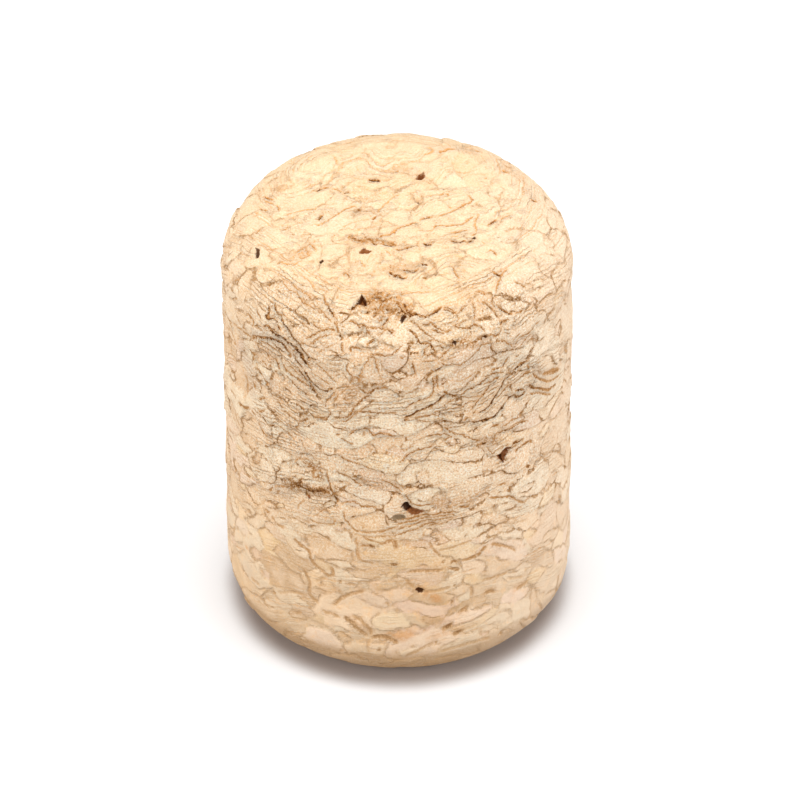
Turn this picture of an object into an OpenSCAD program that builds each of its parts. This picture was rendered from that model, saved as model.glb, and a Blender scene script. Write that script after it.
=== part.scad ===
// Agglomerated cork stopper.
// Cork granules are pressed and glued into one body, which is then sanded to
// a straight wall with rounded ends. The seams between the larger granules
// show as shallow grooves. Where granules meet badly, small voids stay open at
// the surface: pockets between three granules, crevices along the glued seams,
// and pores.
// The foot stands on the XY plane, and the axis is Z.
// Turns are in degrees round the axis from -Y, and grow towards +X.

/* [Body] */
// Diameter of the wall
body_d = 24; // [22:0.5:32]
// Length from the foot to the top
body_len = 32; // [32:0.5:56]
// Radius of the rounding round the top
top_round = 3.8; // [2:0.1:5]
// Radius of the rounding round the foot
foot_round = 3.5; // [2:0.1:5]

/* [Seams between granules] */
// Depth of a seam's groove
seam_depth = 0.18; // [0.12:0.02:0.24]
// Width of a seam's groove at the surface
seam_w = 0.24; // [0.16:0.02:0.32]
// Bridge of glue left between one stretch of a seam and the next
seam_gap = 0.2; // [0.1:0.05:0.4]

/* [Pockets between granules] */
// Diameter of the granules whose round flanks shape a pocket
granule_d = 2.6; // [2.2:0.1:3.4]
// Depth at which those granules are widest
granule_sink = 0.5; // [0.3:0.05:0.6]
// Depth of a pocket
pocket_depth = 1; // [0.6:0.1:1.4]
// Width of a pocket's floor
pocket_floor = 0.24; // [0.2:0.02:0.4]

/* [Crevices along seams] */
// Depth of a crevice at its middle
crevice_depth = 0.4; // [0.2:0.05:0.45]
// Width of a crevice at the surface
crevice_w = 0.3; // [0.2:0.05:0.5]

/* [Pores] */
// Diameter of a pore at the surface
pore_d = 0.5; // [0.3:0.05:0.8]
// Diameter of a pore's floor
pore_floor = 0.2; // [0.1:0.02:0.24]
// Depth of a pore
pore_depth = 0.45; // [0.2:0.05:0.8]
// Wall or end area for each scattered pore, in square millimetres
pore_area = 45; // [30:5:120]
// Wall area for each scattered crevice, in square millimetres
crevice_area = 50; // [30:5:120]

/* [Hidden] */

wall_r = body_d / 2;
wall_len = body_len - top_round - foot_round;
top_flat_r = wall_r - top_round;
foot_flat_r = wall_r - foot_round;
wall_area = PI * body_d * wall_len;

// The three granules about a pocket differ in size by these shares
granule_mix = [1, 0.8, 1.25];
// Cutters of voids reach this far out of the surface
clear_of_skin = 0.6;
// Grooves reach this far out of it, so that close seams stay apart
seam_clear = 0.08;
body_facets = 180;
cutter_facets = 24;

// Scattered voids keep this far from the ends of the wall
scatter_margin = 1;
// Turn from one scattered void to the next, which never repeats
golden_turn = 137.508;
// Shortest and longest scattered crevice, and their greatest slope
crevice_short = 0.95;
crevice_long = 1.7;
crevice_slope = 28;

// Seams on the wall, measured up from the foot: points of turn and height
low_seams = [
    [[-39, 16.1], [-34, 16.8], [-26, 16.7], [-20, 16]],
    [[-18.2, 15.6], [-14.4, 13.9], [-4.3, 14.1], [-1, 14.3]],
    [[-1.5, 15], [6, 15.1], [15, 15.4], [24.5, 15.6]],
    [[-2, 13.6], [5, 14.2], [14, 14.6]],
    [[31, 15.5], [40, 14.8], [46, 13.7]],
    [[-51, 12.3], [-46.5, 12.2], [-40, 12.1]],
    [[-47.8, 14.4], [-43.5, 15.4], [-41.5, 15.7]],
    [[-31.5, 13.9], [-22.2, 13.9], [-20.8, 14.7]],
    [[-13.2, 11.3], [-7.3, 11]],
    [[14.4, 11.3], [21, 10.7], [29.9, 11.5], [38, 10.5]],
    [[29.9, 8.5], [40, 8.1]],
    [[-35, 9.3], [-31, 8.3], [-29.4, 6.9]],
    [[-22.7, 6.9], [-17.2, 8], [-13.2, 8.5]],
    [[-19.4, 6.1], [-10, 4.7], [-1, 4.4]],
    [[9.4, 7.1], [11, 6], [16, 5.6]],
    [[16.5, 7.4], [23.9, 6.8], [19, 6]],
    [[70, 6], [78, 7], [88, 6.8]],
    [[84, 11.5], [93, 12.6], [103, 12]],
    [[66, 15.2], [76, 16.3], [85, 15.8]],
    [[110, 5.8], [120, 6.9], [128, 8.4]],
    [[122, 12.8], [132, 12], [143, 12.6]],
    [[104, 15.9], [114, 16.8]],
    [[150, 7.2], [160, 6.4], [171, 7.3]],
    [[148, 16.4], [158, 15.4], [169, 15.9]],
    [[180, 11.8], [189, 10.9], [199, 11.6]],
    [[190, 6.2], [200, 7.4]],
    [[207, 16.6], [217, 15.6], [228, 16.2]],
    [[222, 8.3], [231, 9.5], [240, 9]],
    [[236, 12.6], [246, 13.5]],
    [[252, 6.4], [262, 7.6], [272, 7.2]],
    [[262, 14.8], [273, 15.7], [284, 15.1]],
    [[279, 10.4], [289, 11.2]]
];

// Seams on the wall, measured down from the top: points of turn and drop
high_seams = [
    [[-37.5, 4.9], [-33, 5.3], [-28, 6.5], [-20.5, 6.2]],
    [[-42.5, 8.5], [-31, 9.1], [-24, 8.7], [-21.5, 7.2]],
    [[-43.5, 9.1], [-39, 9.7], [-33, 10]],
    [[-14, 6.7], [-10, 6.7], [-2, 5.8]],
    [[-16, 8.9], [-10, 7.3], [-1, 7.2]],
    [[-16.2, 9.9], [-9.5, 9.3], [2, 9.4]],
    [[-20.9, 11.7], [-14.5, 12.3], [-6.5, 12.7]],
    [[-21.8, 13.4], [-10.8, 14.2]],
    [[0.5, 8.2], [5, 7.7], [12.4, 6.8]],
    [[14.8, 6.3], [19.8, 6.8], [28, 6.3], [36.5, 5.6], [39.6, 5]],
    [[15, 9.2], [22.4, 10.4], [31.5, 11.3]],
    [[0, 11.9], [8, 10.8], [13, 10.6]],
    [[24.2, 9.1], [30, 9.7], [37, 9.1], [41.8, 8.5]],
    [[30.2, 8.4], [36.8, 7.1], [42.8, 6.5], [48.3, 6.2]],
    [[50, 6.9], [52.7, 8], [59.7, 9.1]],
    [[47, 8.4], [51.7, 9.4], [59.7, 10.4]],
    [[31, 12.2], [32.8, 12.7], [40, 12.6], [46, 12.9]],
    [[68, 5.6], [77, 4.9], [88, 5.7]],
    [[76, 10.6], [86, 9.7], [96, 10.3]],
    [[104, 6.8], [114, 6], [124, 6.9]],
    [[112, 11.6], [122, 12.4], [131, 11.9]],
    [[140, 8.2], [150, 7.3], [161, 7.8]],
    [[166, 12.8], [176, 11.9], [187, 12.5]],
    [[178, 5], [188, 5.8], [198, 5.2]],
    [[202, 9], [212, 8.1], [222, 8.8]],
    [[226, 12.9], [236, 12]],
    [[232, 5.5], [242, 6.4], [253, 5.9]],
    [[247, 11.4], [257, 12.2], [267, 11.8]],
    [[274, 6.8], [284, 7.7]],
    [[282, 12.8], [291, 11.9]]
];

// Seams on the top's rounding: points of turn and tilt from the wall
edge_seams = [
    [[-61, 38], [-52, 38], [-42.5, 27], [-37.5, 12], [-33, 4]],
    [[-50, 3], [-45.5, 13], [-39.5, 6]],
    [[-31, 68], [-25, 51], [-20, 36], [-18.5, 14]],
    [[-18.3, 47], [-11.5, 44], [-8.5, 29], [-3, 42]],
    [[-1, 74], [4, 57], [10, 53], [18, 63]],
    [[0, 51], [5, 36], [10, 27], [15.5, 21]],
    [[11, 45], [15, 38], [22.3, 36], [30, 24]],
    [[15, 2], [21, 3], [27, 5], [33, 15]],
    [[31.2, 74], [35, 51], [37.2, 36]],
    [[39.5, 48], [42.8, 31], [48.8, 34]],
    [[112, 20], [120, 34], [129, 28]],
    [[-120, 24], [-130, 38], [-139, 34]],
    [[172, 44], [179, 30], [188, 36]]
];

// Voids on the wall, measured up from the foot: turn, height, size, spin
low_pockets = [
    [4, 15.8, 1.1, 15], [-31, 16.4, 1, 40], [-50, 12.4, 0.9, 70],
    [112, 9.5, 1.2, 20], [205, 14.2, 1, 85], [-118, 6.8, 1.1, 50]
];
low_crevices = [
    [-20.5, 16.2, 1.1, -58], [-36, 16.5, 1.3, 30], [-25, 16.7, 1.2, -4],
    [-8, 12.6, 1, 6], [-2, 11.1, 1.1, -4], [8, 15.6, 1, -20],
    [-61, 7.5, 1.1, -12], [20, 15.6, 1.2, 2], [150, 11, 1.6, 12],
    [-150, 12.5, 1.5, -16]
];
low_pores = [
    [6.7, 8.8, 0.6], [-1.5, 15.4, 0.6], [12, 11.9, 0.5], [34, 12.6, 0.5],
    [48.5, 16.3, 0.5], [26, 16.7, 0.4], [15.5, 5.1, 0.5], [-6.5, 3.6, 0.4]
];

// Voids on the wall, measured down from the top: turn, drop, size, spin
high_pockets = [
    [37.5, 13.3, 1.3, 60], [-104, 10.4, 1.1, 10], [172, 7.6, 1.2, 35]
];
high_crevices = [
    [43, 12.8, 1.3, 8], [28.5, 11.6, 1.2, -6], [-51, 7.7, 1.3, -14],
    [27, 9.4, 1.3, -14], [44, 8.7, 1.1, -8], [15, 6.7, 1, -35],
    [98, 8.9, 1.5, 18], [-160, 9.8, 1.4, -10]
];
high_pores = [[32.5, 11.7, 0.5], [-20, 10.2, 0.5], [-13.5, 6.3, 0.4], [53, 14.6, 0.4]];

// Voids on the top's rounding: turn, tilt from the wall, size, spin
edge_pockets = [[-16, 68, 1.4, 30], [-71, 50, 1, 90]];
edge_crevices = [
    [-8, 79, 1.3, 12], [-3, 66, 1.2, -24], [1, 53, 1, -60], [14, 60, 1.3, 16],
    [36, 44, 1.1, -62], [30, 20, 1, 0], [128, 55, 1.2, 30], [-145, 38, 1.1, -20]
];
edge_pores = [[-11, 72, 0.5], [-5, 60, 0.5], [19, 23, 0.5], [36.5, 26, 0.4], [46, 73, 0.4]];

// Voids on the top's flat: turn, distance from the axis, size, spin
top_pockets = [[161, 4.9, 0.9, 40]];
top_crevices = [
    [-162, 4.5, 1.1, -14], [-30, 4.4, 1, 20], [-35, 3.4, 1.2, -20],
    [-14, 3.2, 1, 8], [60, 5.5, 1.1, 16], [3, 6.8, 1, -30],
    [8, 5.9, 1.1, 6], [20, 5.6, 1, -34]
];
top_pores = [[35, 3.7, 0.5], [-110, 2.7, 0.35], [64, 5.8, 0.4], [142, 2.9, 0.35]];

// Voids on the foot's flat: turn, distance from the axis, size, spin
foot_pockets = [[40, 5.2, 1, 10], [-125, 3.4, 0.9, 60]];
foot_crevices = [[95, 4.4, 1.3, 20], [-20, 6.4, 1.2, 70], [170, 6, 1.4, -35]];
foot_pores = [[-70, 5, 0.5], [10, 2.2, 0.4], [130, 2.6, 0.4]];

// A number from 0 to 1 that looks random: void i, choice k
function chance(i, k) =
    let (swing = 4375.85 * sin(78.233 * i + 37.719 * k))
    swing - floor(swing);

// Each of these puts its children on the surface: Z outwards, X to the right
// and Y upwards, as seen from outside
module on_wall(turn, height)
    rotate([0, 0, turn]) translate([0, -wall_r, height]) rotate([90, 0, 0]) children();

module on_top_round(turn, tilt)
    rotate([0, 0, turn]) translate([0, -top_flat_r, body_len - top_round])
        rotate([90 - tilt, 0, 0]) translate([0, 0, top_round]) children();

module on_top(turn, distance)
    rotate([0, 0, turn]) translate([0, -distance, body_len]) children();

module on_foot(turn, distance)
    rotate([0, 0, turn]) translate([0, -distance, 0]) rotate([180, 0, 0]) children();

// Groove: a V-shaped cut along X, deeper by the dip of a curved skin at its ends
module groove(length, dip) {
    bottom = seam_depth + dip;
    flare = seam_w / 2 / seam_depth * (bottom + seam_clear);
    reach = length - seam_gap;
    translate([-reach / 2, 0, 0]) rotate([90, 0, 90]) linear_extrude(reach)
        polygon([[0, -bottom], [flare, seam_clear], [-flare, seam_clear]]);
}

// Seam: grooves from point to point. Its points are a turn with a height on
// the wall, or with a tilt on the top's rounding
module wall_seam(points)
    for (i = [1:len(points) - 1]) {
        from = points[i - 1];
        to = points[i];
        half_turn = (to[0] - from[0]) / 2;
        across = 2 * wall_r * sin(half_turn);
        up = to[1] - from[1];
        on_wall(from[0] + half_turn, (from[1] + to[1]) / 2)
            rotate([0, 0, atan2(up, across)])
                groove(norm([across, up]), wall_r * (1 - cos(half_turn)));
    }

module edge_seam(points)
    for (i = [1:len(points) - 1]) {
        from = points[i - 1];
        to = points[i];
        mid_tilt = (from[1] + to[1]) / 2;
        half_turn = (to[0] - from[0]) / 2;
        half_tilt = (to[1] - from[1]) / 2;
        girth_r = top_flat_r + top_round * cos(mid_tilt);
        across = 2 * girth_r * sin(half_turn);
        up = 2 * top_round * sin(half_tilt);
        dip = girth_r * (1 - cos(half_turn)) * cos(mid_tilt) + top_round * (1 - cos(half_tilt));
        on_top_round(from[0] + half_turn, mid_tilt)
            rotate([0, 0, atan2(up, across)]) groove(norm([across, up]), dip);
    }

// Pocket: a funnel, less the round flanks of the three granules about it
module pocket(size, spin) {
    mouth_r = size / 2;
    flare = (mouth_r - pocket_floor / 2) / pocket_depth;
    rotate([0, 0, spin]) difference() {
        translate([0, 0, -pocket_depth])
            cylinder(h = pocket_depth + clear_of_skin, r1 = pocket_floor / 2,
                r2 = mouth_r + flare * clear_of_skin, $fn = cutter_facets);
        for (side = [0:2]) {
            granule_r = granule_d / 2 * granule_mix[side];
            rotate([0, 0, 120 * side])
                translate([granule_r + pocket_floor / 2, 0, -granule_sink])
                    sphere(r = granule_r, $fn = cutter_facets * 2);
        }
    }
}

// Crevice: the cut of a sharp-rimmed disc that stands on edge along X
module crevice(length, spin) {
    rim_r = (length * length / 4 + crevice_depth * crevice_depth) / (2 * crevice_depth);
    hub_r = rim_r - crevice_depth;
    rotate([0, 0, spin]) translate([0, 0, hub_r]) rotate([90, 0, 0])
        rotate_extrude($fn = cutter_facets * 2)
            polygon([
                [0, -crevice_w / 2], [hub_r, -crevice_w / 2], [rim_r, 0],
                [hub_r, crevice_w / 2], [0, crevice_w / 2]
            ]);
}

// Pore: a short tapered hole
module pore(width) {
    flare = (width - pore_floor) / 2 / pore_depth;
    translate([0, 0, -pore_depth])
        cylinder(h = pore_depth + clear_of_skin, r1 = pore_floor / 2,
            r2 = width / 2 + flare * clear_of_skin, $fn = cutter_facets);
}

module wall_voids() {
    for (v = low_pockets) on_wall(v[0], v[1]) pocket(v[2], v[3]);
    for (v = low_crevices) on_wall(v[0], v[1]) crevice(v[2], v[3]);
    for (v = low_pores) on_wall(v[0], v[1]) pore(v[2]);
    for (v = high_pockets) on_wall(v[0], body_len - v[1]) pocket(v[2], v[3]);
    for (v = high_crevices) on_wall(v[0], body_len - v[1]) crevice(v[2], v[3]);
    for (v = high_pores) on_wall(v[0], body_len - v[1]) pore(v[2]);
}

module end_voids() {
    for (v = edge_pockets) on_top_round(v[0], v[1]) pocket(v[2], v[3]);
    for (v = edge_crevices) on_top_round(v[0], v[1]) crevice(v[2], v[3]);
    for (v = edge_pores) on_top_round(v[0], v[1]) pore(v[2]);
    for (v = top_pockets) on_top(v[0], v[1]) pocket(v[2], v[3]);
    for (v = top_crevices) on_top(v[0], v[1]) crevice(v[2], v[3]);
    for (v = top_pores) on_top(v[0], v[1]) pore(v[2]);
    for (v = foot_pockets) on_foot(v[0], v[1]) pocket(v[2], v[3]);
    for (v = foot_crevices) on_foot(v[0], v[1]) crevice(v[2], v[3]);
    for (v = foot_pores) on_foot(v[0], v[1]) pore(v[2]);
}

module drawn_seams() {
    for (seam = low_seams) wall_seam(seam);
    for (seam = high_seams) wall_seam([for (point = seam) [point[0], body_len - point[1]]]);
    for (seam = edge_seams) edge_seam(seam);
}

// The rest of the voids are strewn over the wall, each a golden turn on
module scattered_voids() {
    low = foot_round + scatter_margin;
    run = wall_len - 2 * scatter_margin;
    for (i = [1:floor(wall_area / pore_area)])
        on_wall(golden_turn * i, low + run * chance(i, 1)) pore(pore_d);
    for (i = [1:floor(wall_area / crevice_area)])
        on_wall(-golden_turn * i, low + run * chance(i, 2))
            crevice(crevice_short + (crevice_long - crevice_short) * chance(i, 3),
                crevice_slope * (2 * chance(i, 4) - 1));
}

// Half section of one end: flat from the axis, then a quarter circle
module end_section(round_r) {
    flat_r = wall_r - round_r;
    square([flat_r, round_r]);
    intersection() {
        translate([flat_r, 0]) circle(r = round_r, $fn = body_facets);
        square([wall_r, round_r]);
    }
}

// Solid of revolution: flat foot, rounded edges, straight wall, flat top
module body_blank()
    rotate_extrude($fn = body_facets) {
        translate([0, foot_round]) mirror([0, 1]) end_section(foot_round);
        translate([0, foot_round]) square([wall_r, wall_len]);
        translate([0, body_len - top_round]) end_section(top_round);
    }

module stopper()
    color("burlywood") difference() {
        body_blank();
        drawn_seams();
        wall_voids();
        end_voids();
        scattered_voids();
    }

stopper();
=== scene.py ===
import math
import bpy
import numpy as np
from mathutils import Matrix, Vector
from types import SimpleNamespace


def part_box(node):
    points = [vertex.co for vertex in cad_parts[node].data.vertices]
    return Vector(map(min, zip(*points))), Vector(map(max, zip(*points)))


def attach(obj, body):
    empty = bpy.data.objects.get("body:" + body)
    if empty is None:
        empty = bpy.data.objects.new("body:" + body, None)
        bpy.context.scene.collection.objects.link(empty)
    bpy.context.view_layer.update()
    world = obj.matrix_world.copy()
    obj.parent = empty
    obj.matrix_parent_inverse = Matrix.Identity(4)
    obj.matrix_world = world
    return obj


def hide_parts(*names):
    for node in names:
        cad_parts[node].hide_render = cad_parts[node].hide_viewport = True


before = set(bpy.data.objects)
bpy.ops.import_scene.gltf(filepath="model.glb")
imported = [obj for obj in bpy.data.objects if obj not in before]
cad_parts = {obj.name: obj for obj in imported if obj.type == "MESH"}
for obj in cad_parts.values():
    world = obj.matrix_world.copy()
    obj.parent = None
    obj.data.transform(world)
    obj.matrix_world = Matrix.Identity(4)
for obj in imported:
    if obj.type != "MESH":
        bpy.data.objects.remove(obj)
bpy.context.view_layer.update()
mm = 0.001  # shapes are worked out in millimetres
print("frame loaded")

# The stopper's outline, with its diameter and length from the frame
low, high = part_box("stopper")
outline = {
    "radius": (high.x - low.x) / 2 / mm,
    "length": (high.z - low.z) / mm,
    "topRound": 3.8,
    "footRound": 3.5,
    "around": 384,        # columns of the wall, a multiple of 4
    "up": 200,            # rows of the wall and its rounded ends
}

# Arc lengths along the profile, from the middle of the foot to the middle of the top
footEdge = outline["radius"] - outline["footRound"]
wallLow = footEdge + outline["footRound"] * math.pi / 2
wallHigh = wallLow + outline["length"] - outline["topRound"] - outline["footRound"]
topEdge = wallHigh + outline["topRound"] * math.pi / 2

# The camera: its lift in degrees, its distance from the stopper's middle, its lens and sensor
# in mm, the side of its square view in pixels, the pixel on its axis, and its roll
camera = {
    "elevation": 38.12,
    "distance": 559.1,
    "lens": 362.3,
    "sensor": 36.0,
    "imageSide": 800,
    "centrePixel": (397.98, 400.56),
    "roll": -0.0046,
}


def placeOnWall(turn, arc):
    # Wall and rounded ends: turn in degrees from -Y towards +X, arc in mm up the profile.
    # Radius and height follow a quarter circle, a straight line, then a quarter circle.
    turn, arc = np.broadcast_arrays(np.radians(turn), np.asarray(arc, float))
    footTilt = np.clip((wallLow - arc) / outline["footRound"], 0, math.pi / 2)
    topTilt = np.clip((arc - wallHigh) / outline["topRound"], 0, math.pi / 2)
    r = outline["radius"] - outline["footRound"] * (1 - np.cos(footTilt))
    r = r - outline["topRound"] * (1 - np.cos(topTilt))
    r = r - np.clip(arc - topEdge, 0, None) - np.clip(footEdge - arc, 0, None)
    z = outline["footRound"] * (1 - np.sin(footTilt)) + outline["topRound"] * np.sin(topTilt)
    z = z + np.clip(arc, wallLow, wallHigh) - wallLow
    tilt = topTilt - footTilt
    out = np.stack([np.sin(turn), -np.cos(turn), 0 * turn], -1)
    up = np.array([0, 0, 1.0])
    place = out * r[..., None] + up * z[..., None]
    normal = out * np.cos(tilt)[..., None] + up * np.sin(tilt)[..., None]
    return place, normal


def placeOnTop(x, y):
    # Top and its rounded rim: the height falls by a quarter circle past the flat part
    past = np.clip(np.hypot(x, y) - outline["radius"] + outline["topRound"], 0, outline["topRound"])
    z = outline["length"] - outline["topRound"] + np.sqrt(outline["topRound"]**2 - past**2)
    return np.stack([x, y, z], -1)


def skinDistance(points):
    # Distance to the plain skin, of a disc with rounded ends: the length of what lies past
    # the rounding's centre, less its radius
    radial = np.hypot(points[:, 0], points[:, 1]) - outline["radius"]
    upper = points[:, 2] > outline["length"] / 2
    endways = np.where(upper, points[:, 2] - outline["length"], -points[:, 2])
    rounding = np.where(upper, outline["topRound"], outline["footRound"])
    past = np.stack([radial, endways]) + rounding
    return np.hypot(*np.maximum(past, 0)) + np.minimum(past.max(0), 0) - rounding


def seenOnSkin(pixels, steps=200):
    # Places on the plain skin under points of the camera's view, each a column and a row.
    # From the eye, every step along the ray is as long as the skin is far away.
    pixels = np.asarray(pixels, float) - camera["centrePixel"]
    focal = camera["lens"] / camera["sensor"] * camera["imageSide"]
    lift, roll = math.radians(camera["elevation"]), camera["roll"]
    right = (pixels[:, 0] * math.cos(roll) + pixels[:, 1] * math.sin(roll)) / focal
    down = (pixels[:, 1] * math.cos(roll) - pixels[:, 0] * math.sin(roll)) / focal
    back = np.array([0, -math.cos(lift), math.sin(lift)])
    up = np.array([0, math.sin(lift), math.cos(lift)])
    ray = np.outer(right, [1, 0, 0]) - np.outer(down, up) - back
    ray /= np.linalg.norm(ray, axis=1, keepdims=True)
    points = back * camera["distance"] + [0, 0, outline["length"] / 2] + 0 * ray
    for step in range(steps):
        points = points + ray * skinDistance(points)[:, None]
    return points


def seenOnWall(pixels):
    # Turn and arc under points of the view, to a tenth of a degree and a hundredth of a mm:
    # the straight wall's arc rises with height, a rounded end's with its tilt
    x, y, z = seenOnSkin(pixels).T
    beyond = np.hypot(x, y) - outline["radius"]
    topTilt = np.arctan2(z - outline["length"] + outline["topRound"], beyond + outline["topRound"])
    footTilt = np.arctan2(outline["footRound"] - z, beyond + outline["footRound"])
    arc = wallLow + z - outline["footRound"]
    arc = np.where(topTilt > 0, wallHigh + outline["topRound"] * topTilt, arc)
    arc = np.where(footTilt > 0, wallLow - outline["footRound"] * footTilt, arc)
    turn = np.degrees(np.arctan2(x, -y))
    return [(round(float(a), 1), round(float(b), 2)) for a, b in zip(turn, arc)]


def seenOnTop(pixels):
    # X and Y under points of the view, to a hundredth of a mm
    return [(round(float(x), 2), round(float(y), 2)) for x, y, z in seenOnSkin(pixels)]


def discFromSquare(side):
    # Square grid bent to a disc of radius 1: squares round the centre become circles,
    # and equal steps along a square's side become equal turns
    step = np.linspace(-1, 1, side + 1)
    across, along = np.meshgrid(step, step, indexing="ij")
    wide = np.abs(across) > np.abs(along)
    safe = np.where(np.maximum(np.abs(across), np.abs(along)) < 1e-9, 1, np.where(wide, across, along))
    radius = np.where(wide, across, along)
    share = np.where(wide, along, across) / safe
    turn = np.where(wide, share, 2 - share) * math.pi / 4
    return radius * np.cos(turn), radius * np.sin(turn)


def stopperSkin():
    # Closed skin: a wall of rings up the profile, and a bent square grid on each end,
    # whose rims are the first and last rings
    around, up = outline["around"], outline["up"]
    side = around // 4
    turns = 45 + 90 + 360 * np.arange(around) / around
    arcs = np.linspace(footEdge, topEdge, up + 1)
    place, normal = placeOnWall(turns[None, :], arcs[:, None])
    places = [place.reshape(-1, 3)]
    normals = [normal.reshape(-1, 3)]
    ring = np.arange(around)
    rows = np.arange(up)[:, None] * around
    wall = np.stack([rows + ring, rows + (ring + 1) % around,
                     rows + around + (ring + 1) % around, rows + around + ring], -1)
    faces = [wall.reshape(-1, 4)]
    x, y = discFromSquare(side)
    rim = np.zeros((side + 1, side + 1), bool)
    rim[[0, -1], :] = True
    rim[:, [0, -1]] = True
    angle = np.degrees(np.arctan2(x, -y))
    ringPlace = np.round((angle - turns[0]) / 360 * around).astype(int) % around
    count = around * (up + 1)
    for end, row, z, facing in (("foot", 0, 0.0, -1.0), ("top", up, outline["length"], 1.0)):
        edge = footEdge if end == "foot" else outline["radius"] - outline["topRound"]
        number = np.where(rim, row * around + ringPlace, 0)
        inner = ~rim
        number[inner] = count + np.arange(inner.sum())
        count += inner.sum()
        flat = np.stack([x[inner] * edge, y[inner] * edge, np.full(inner.sum(), z)], -1)
        places.append(flat)
        normals.append(np.tile([0, 0, facing], (len(flat), 1)))
        a, b = number[:-1, :-1], number[1:, :-1]
        c, d = number[1:, 1:], number[:-1, 1:]
        quads = np.stack([a, b, c, d] if facing > 0 else [a, d, c, b], -1)
        faces.append(quads.reshape(-1, 4))
    return np.concatenate(places), np.concatenate(normals), np.concatenate(faces)


places, normals, faces = stopperSkin()
print("skin of", len(places), "points")


def ease(value):
    # 0 below 0, 1 above 1, and 3t^2 - 2t^3 between
    t = np.clip(value, 0, 1)
    return t * t * (3 - 2 * t)


def latticeNoise(points, wave, seed):
    # Smooth noise from -1 to 1: random values at the corners of cubes of side wave,
    # blended between the corners by the ease 6t^5 - 15t^4 + 10t^3
    table = np.random.default_rng(seed).uniform(-1, 1, 4096)
    cell = np.floor(points / wave).astype(np.int64)
    t = points / wave - cell
    blend = t**3 * (t * (6 * t - 15) + 10)
    total = np.zeros(len(points))
    for corner in range(8):
        step = np.array([corner & 1, corner >> 1 & 1, corner >> 2])
        c = cell + step
        key = (c[:, 0] * 73856093 ^ c[:, 1] * 19349663 ^ c[:, 2] * 83492791) & 4095
        total += np.prod(np.where(step, blend, 1 - blend), 1) * table[key]
    return total


def warp(points, steps, seed):
    # Moves each point by noise along X, Y and Z: one pass for each (wave, reach) in steps
    moved = points.copy()
    for i, (wave, reach) in enumerate(steps):
        for axis in range(3):
            moved[:, axis] += reach * latticeNoise(points, wave, seed + 3 * i + axis)
    return moved


# Cork granules, pressed flat and glued together
granules = {
    "spacing": 2.0,               # mm between granule centres
    "flatness": 2.2,              # width of a granule for its thickness
    "sizeSpread": 0.36,
    "tiltSpread": 0.22,
    "warp": [(3.0, 0.50), (1.3, 0.26), (0.6, 0.12)],
    "seed": 11,
}

# Lean of the pressed layers, in degrees of rise to the right: a row for each arc length
# up the wall, and a column for each turn from the front
layerLean = {
    "turns": [-60, -40, -20, 0, 20, 40, 60],
    15: [25, 30, -10, 5, 5, -30, -30],
    20: [20, 0, 10, 0, -10, -20, -25],
    25: [25, 35, -10, -15, 0, -5, -25],
    29: [20, 25, -15, -20, -10, 10, -20],
    33: [5, 0, 25, 10, -5, 5, -25],
    37: [20, -20, -10, 20, 10, 15, -15],
    41: [-5, -10, 0, 0, 0, -20, -20],
}


def layerNormal(points):
    # Direction across the layers. It starts as one that leans back and to the right all
    # through, and on the front wall it turns to the lean in the table.
    plain = np.array([-0.22, 0.42, 1.0])
    bend = [0.35 * latticeNoise(points, 7.0, 301 + axis) for axis in range(3)]
    across = plain + np.stack(bend, -1)
    turn = np.degrees(np.arctan2(points[:, 0], -points[:, 1]))
    arc = points[:, 2] + wallLow - outline["footRound"]
    rows = sorted(key for key in layerLean if key != "turns")
    byRow = np.stack([np.interp(turn, layerLean["turns"], layerLean[row]) for row in rows])
    share = np.interp(arc, rows, np.arange(len(rows)))
    lower = np.minimum(share.astype(int), len(rows) - 2)
    column = np.arange(len(points))
    lean = byRow[lower, column] * (lower + 1 - share) + byRow[lower + 1, column] * (share - lower)
    lean = np.radians(lean)
    right = np.stack([np.cos(np.radians(turn)), np.sin(np.radians(turn)), 0 * turn], -1)
    leaned = np.array([0, 0, 1.0]) * np.cos(lean)[:, None] - right * np.sin(lean)[:, None]
    front = ease((75 - np.abs(turn)) / 20) * ease((outline["length"] - points[:, 2]) / 2)
    across = across * (1 - front[:, None]) + leaned * front[:, None]
    return across / np.linalg.norm(across, axis=1, keepdims=True)


def skinDepth(points):
    # Distance inside the straight-sided, rounded outline, in mm, and negative outside
    r = np.hypot(points[:, 0], points[:, 1])
    side = outline["radius"] - r
    end = np.minimum(points[:, 2], outline["length"] - points[:, 2])
    edge = outline["footRound"]
    corner = edge - np.hypot(np.clip(edge - side, 0, None), np.clip(edge - end, 0, None))
    return np.where((side < edge) & (end < edge), corner, np.minimum(side, end))


def sowGranules():
    # Centres on a shaken lattice, kept near the skin; each has its own size and tilt
    rng = np.random.default_rng(granules["seed"])
    gap = granules["spacing"]
    reach = outline["radius"] + 2 * gap
    x = np.arange(-reach, reach, gap)
    z = np.arange(-2 * gap, outline["length"] + 2 * gap, gap)
    centres = np.stack(np.meshgrid(x, x, z, indexing="ij"), -1).reshape(-1, 3)
    centres = centres + rng.uniform(-0.5, 0.5, centres.shape) * gap
    depth = skinDepth(centres)
    centres = centres[(depth > -1.1 * gap) & (depth < 1.6 * gap)]
    size = np.exp(granules["sizeSpread"] * rng.normal(size=len(centres)))
    across = layerNormal(centres) + granules["tiltSpread"] * rng.normal(size=centres.shape)
    across /= np.linalg.norm(across, axis=1, keepdims=True)
    return centres, size, across


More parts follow.
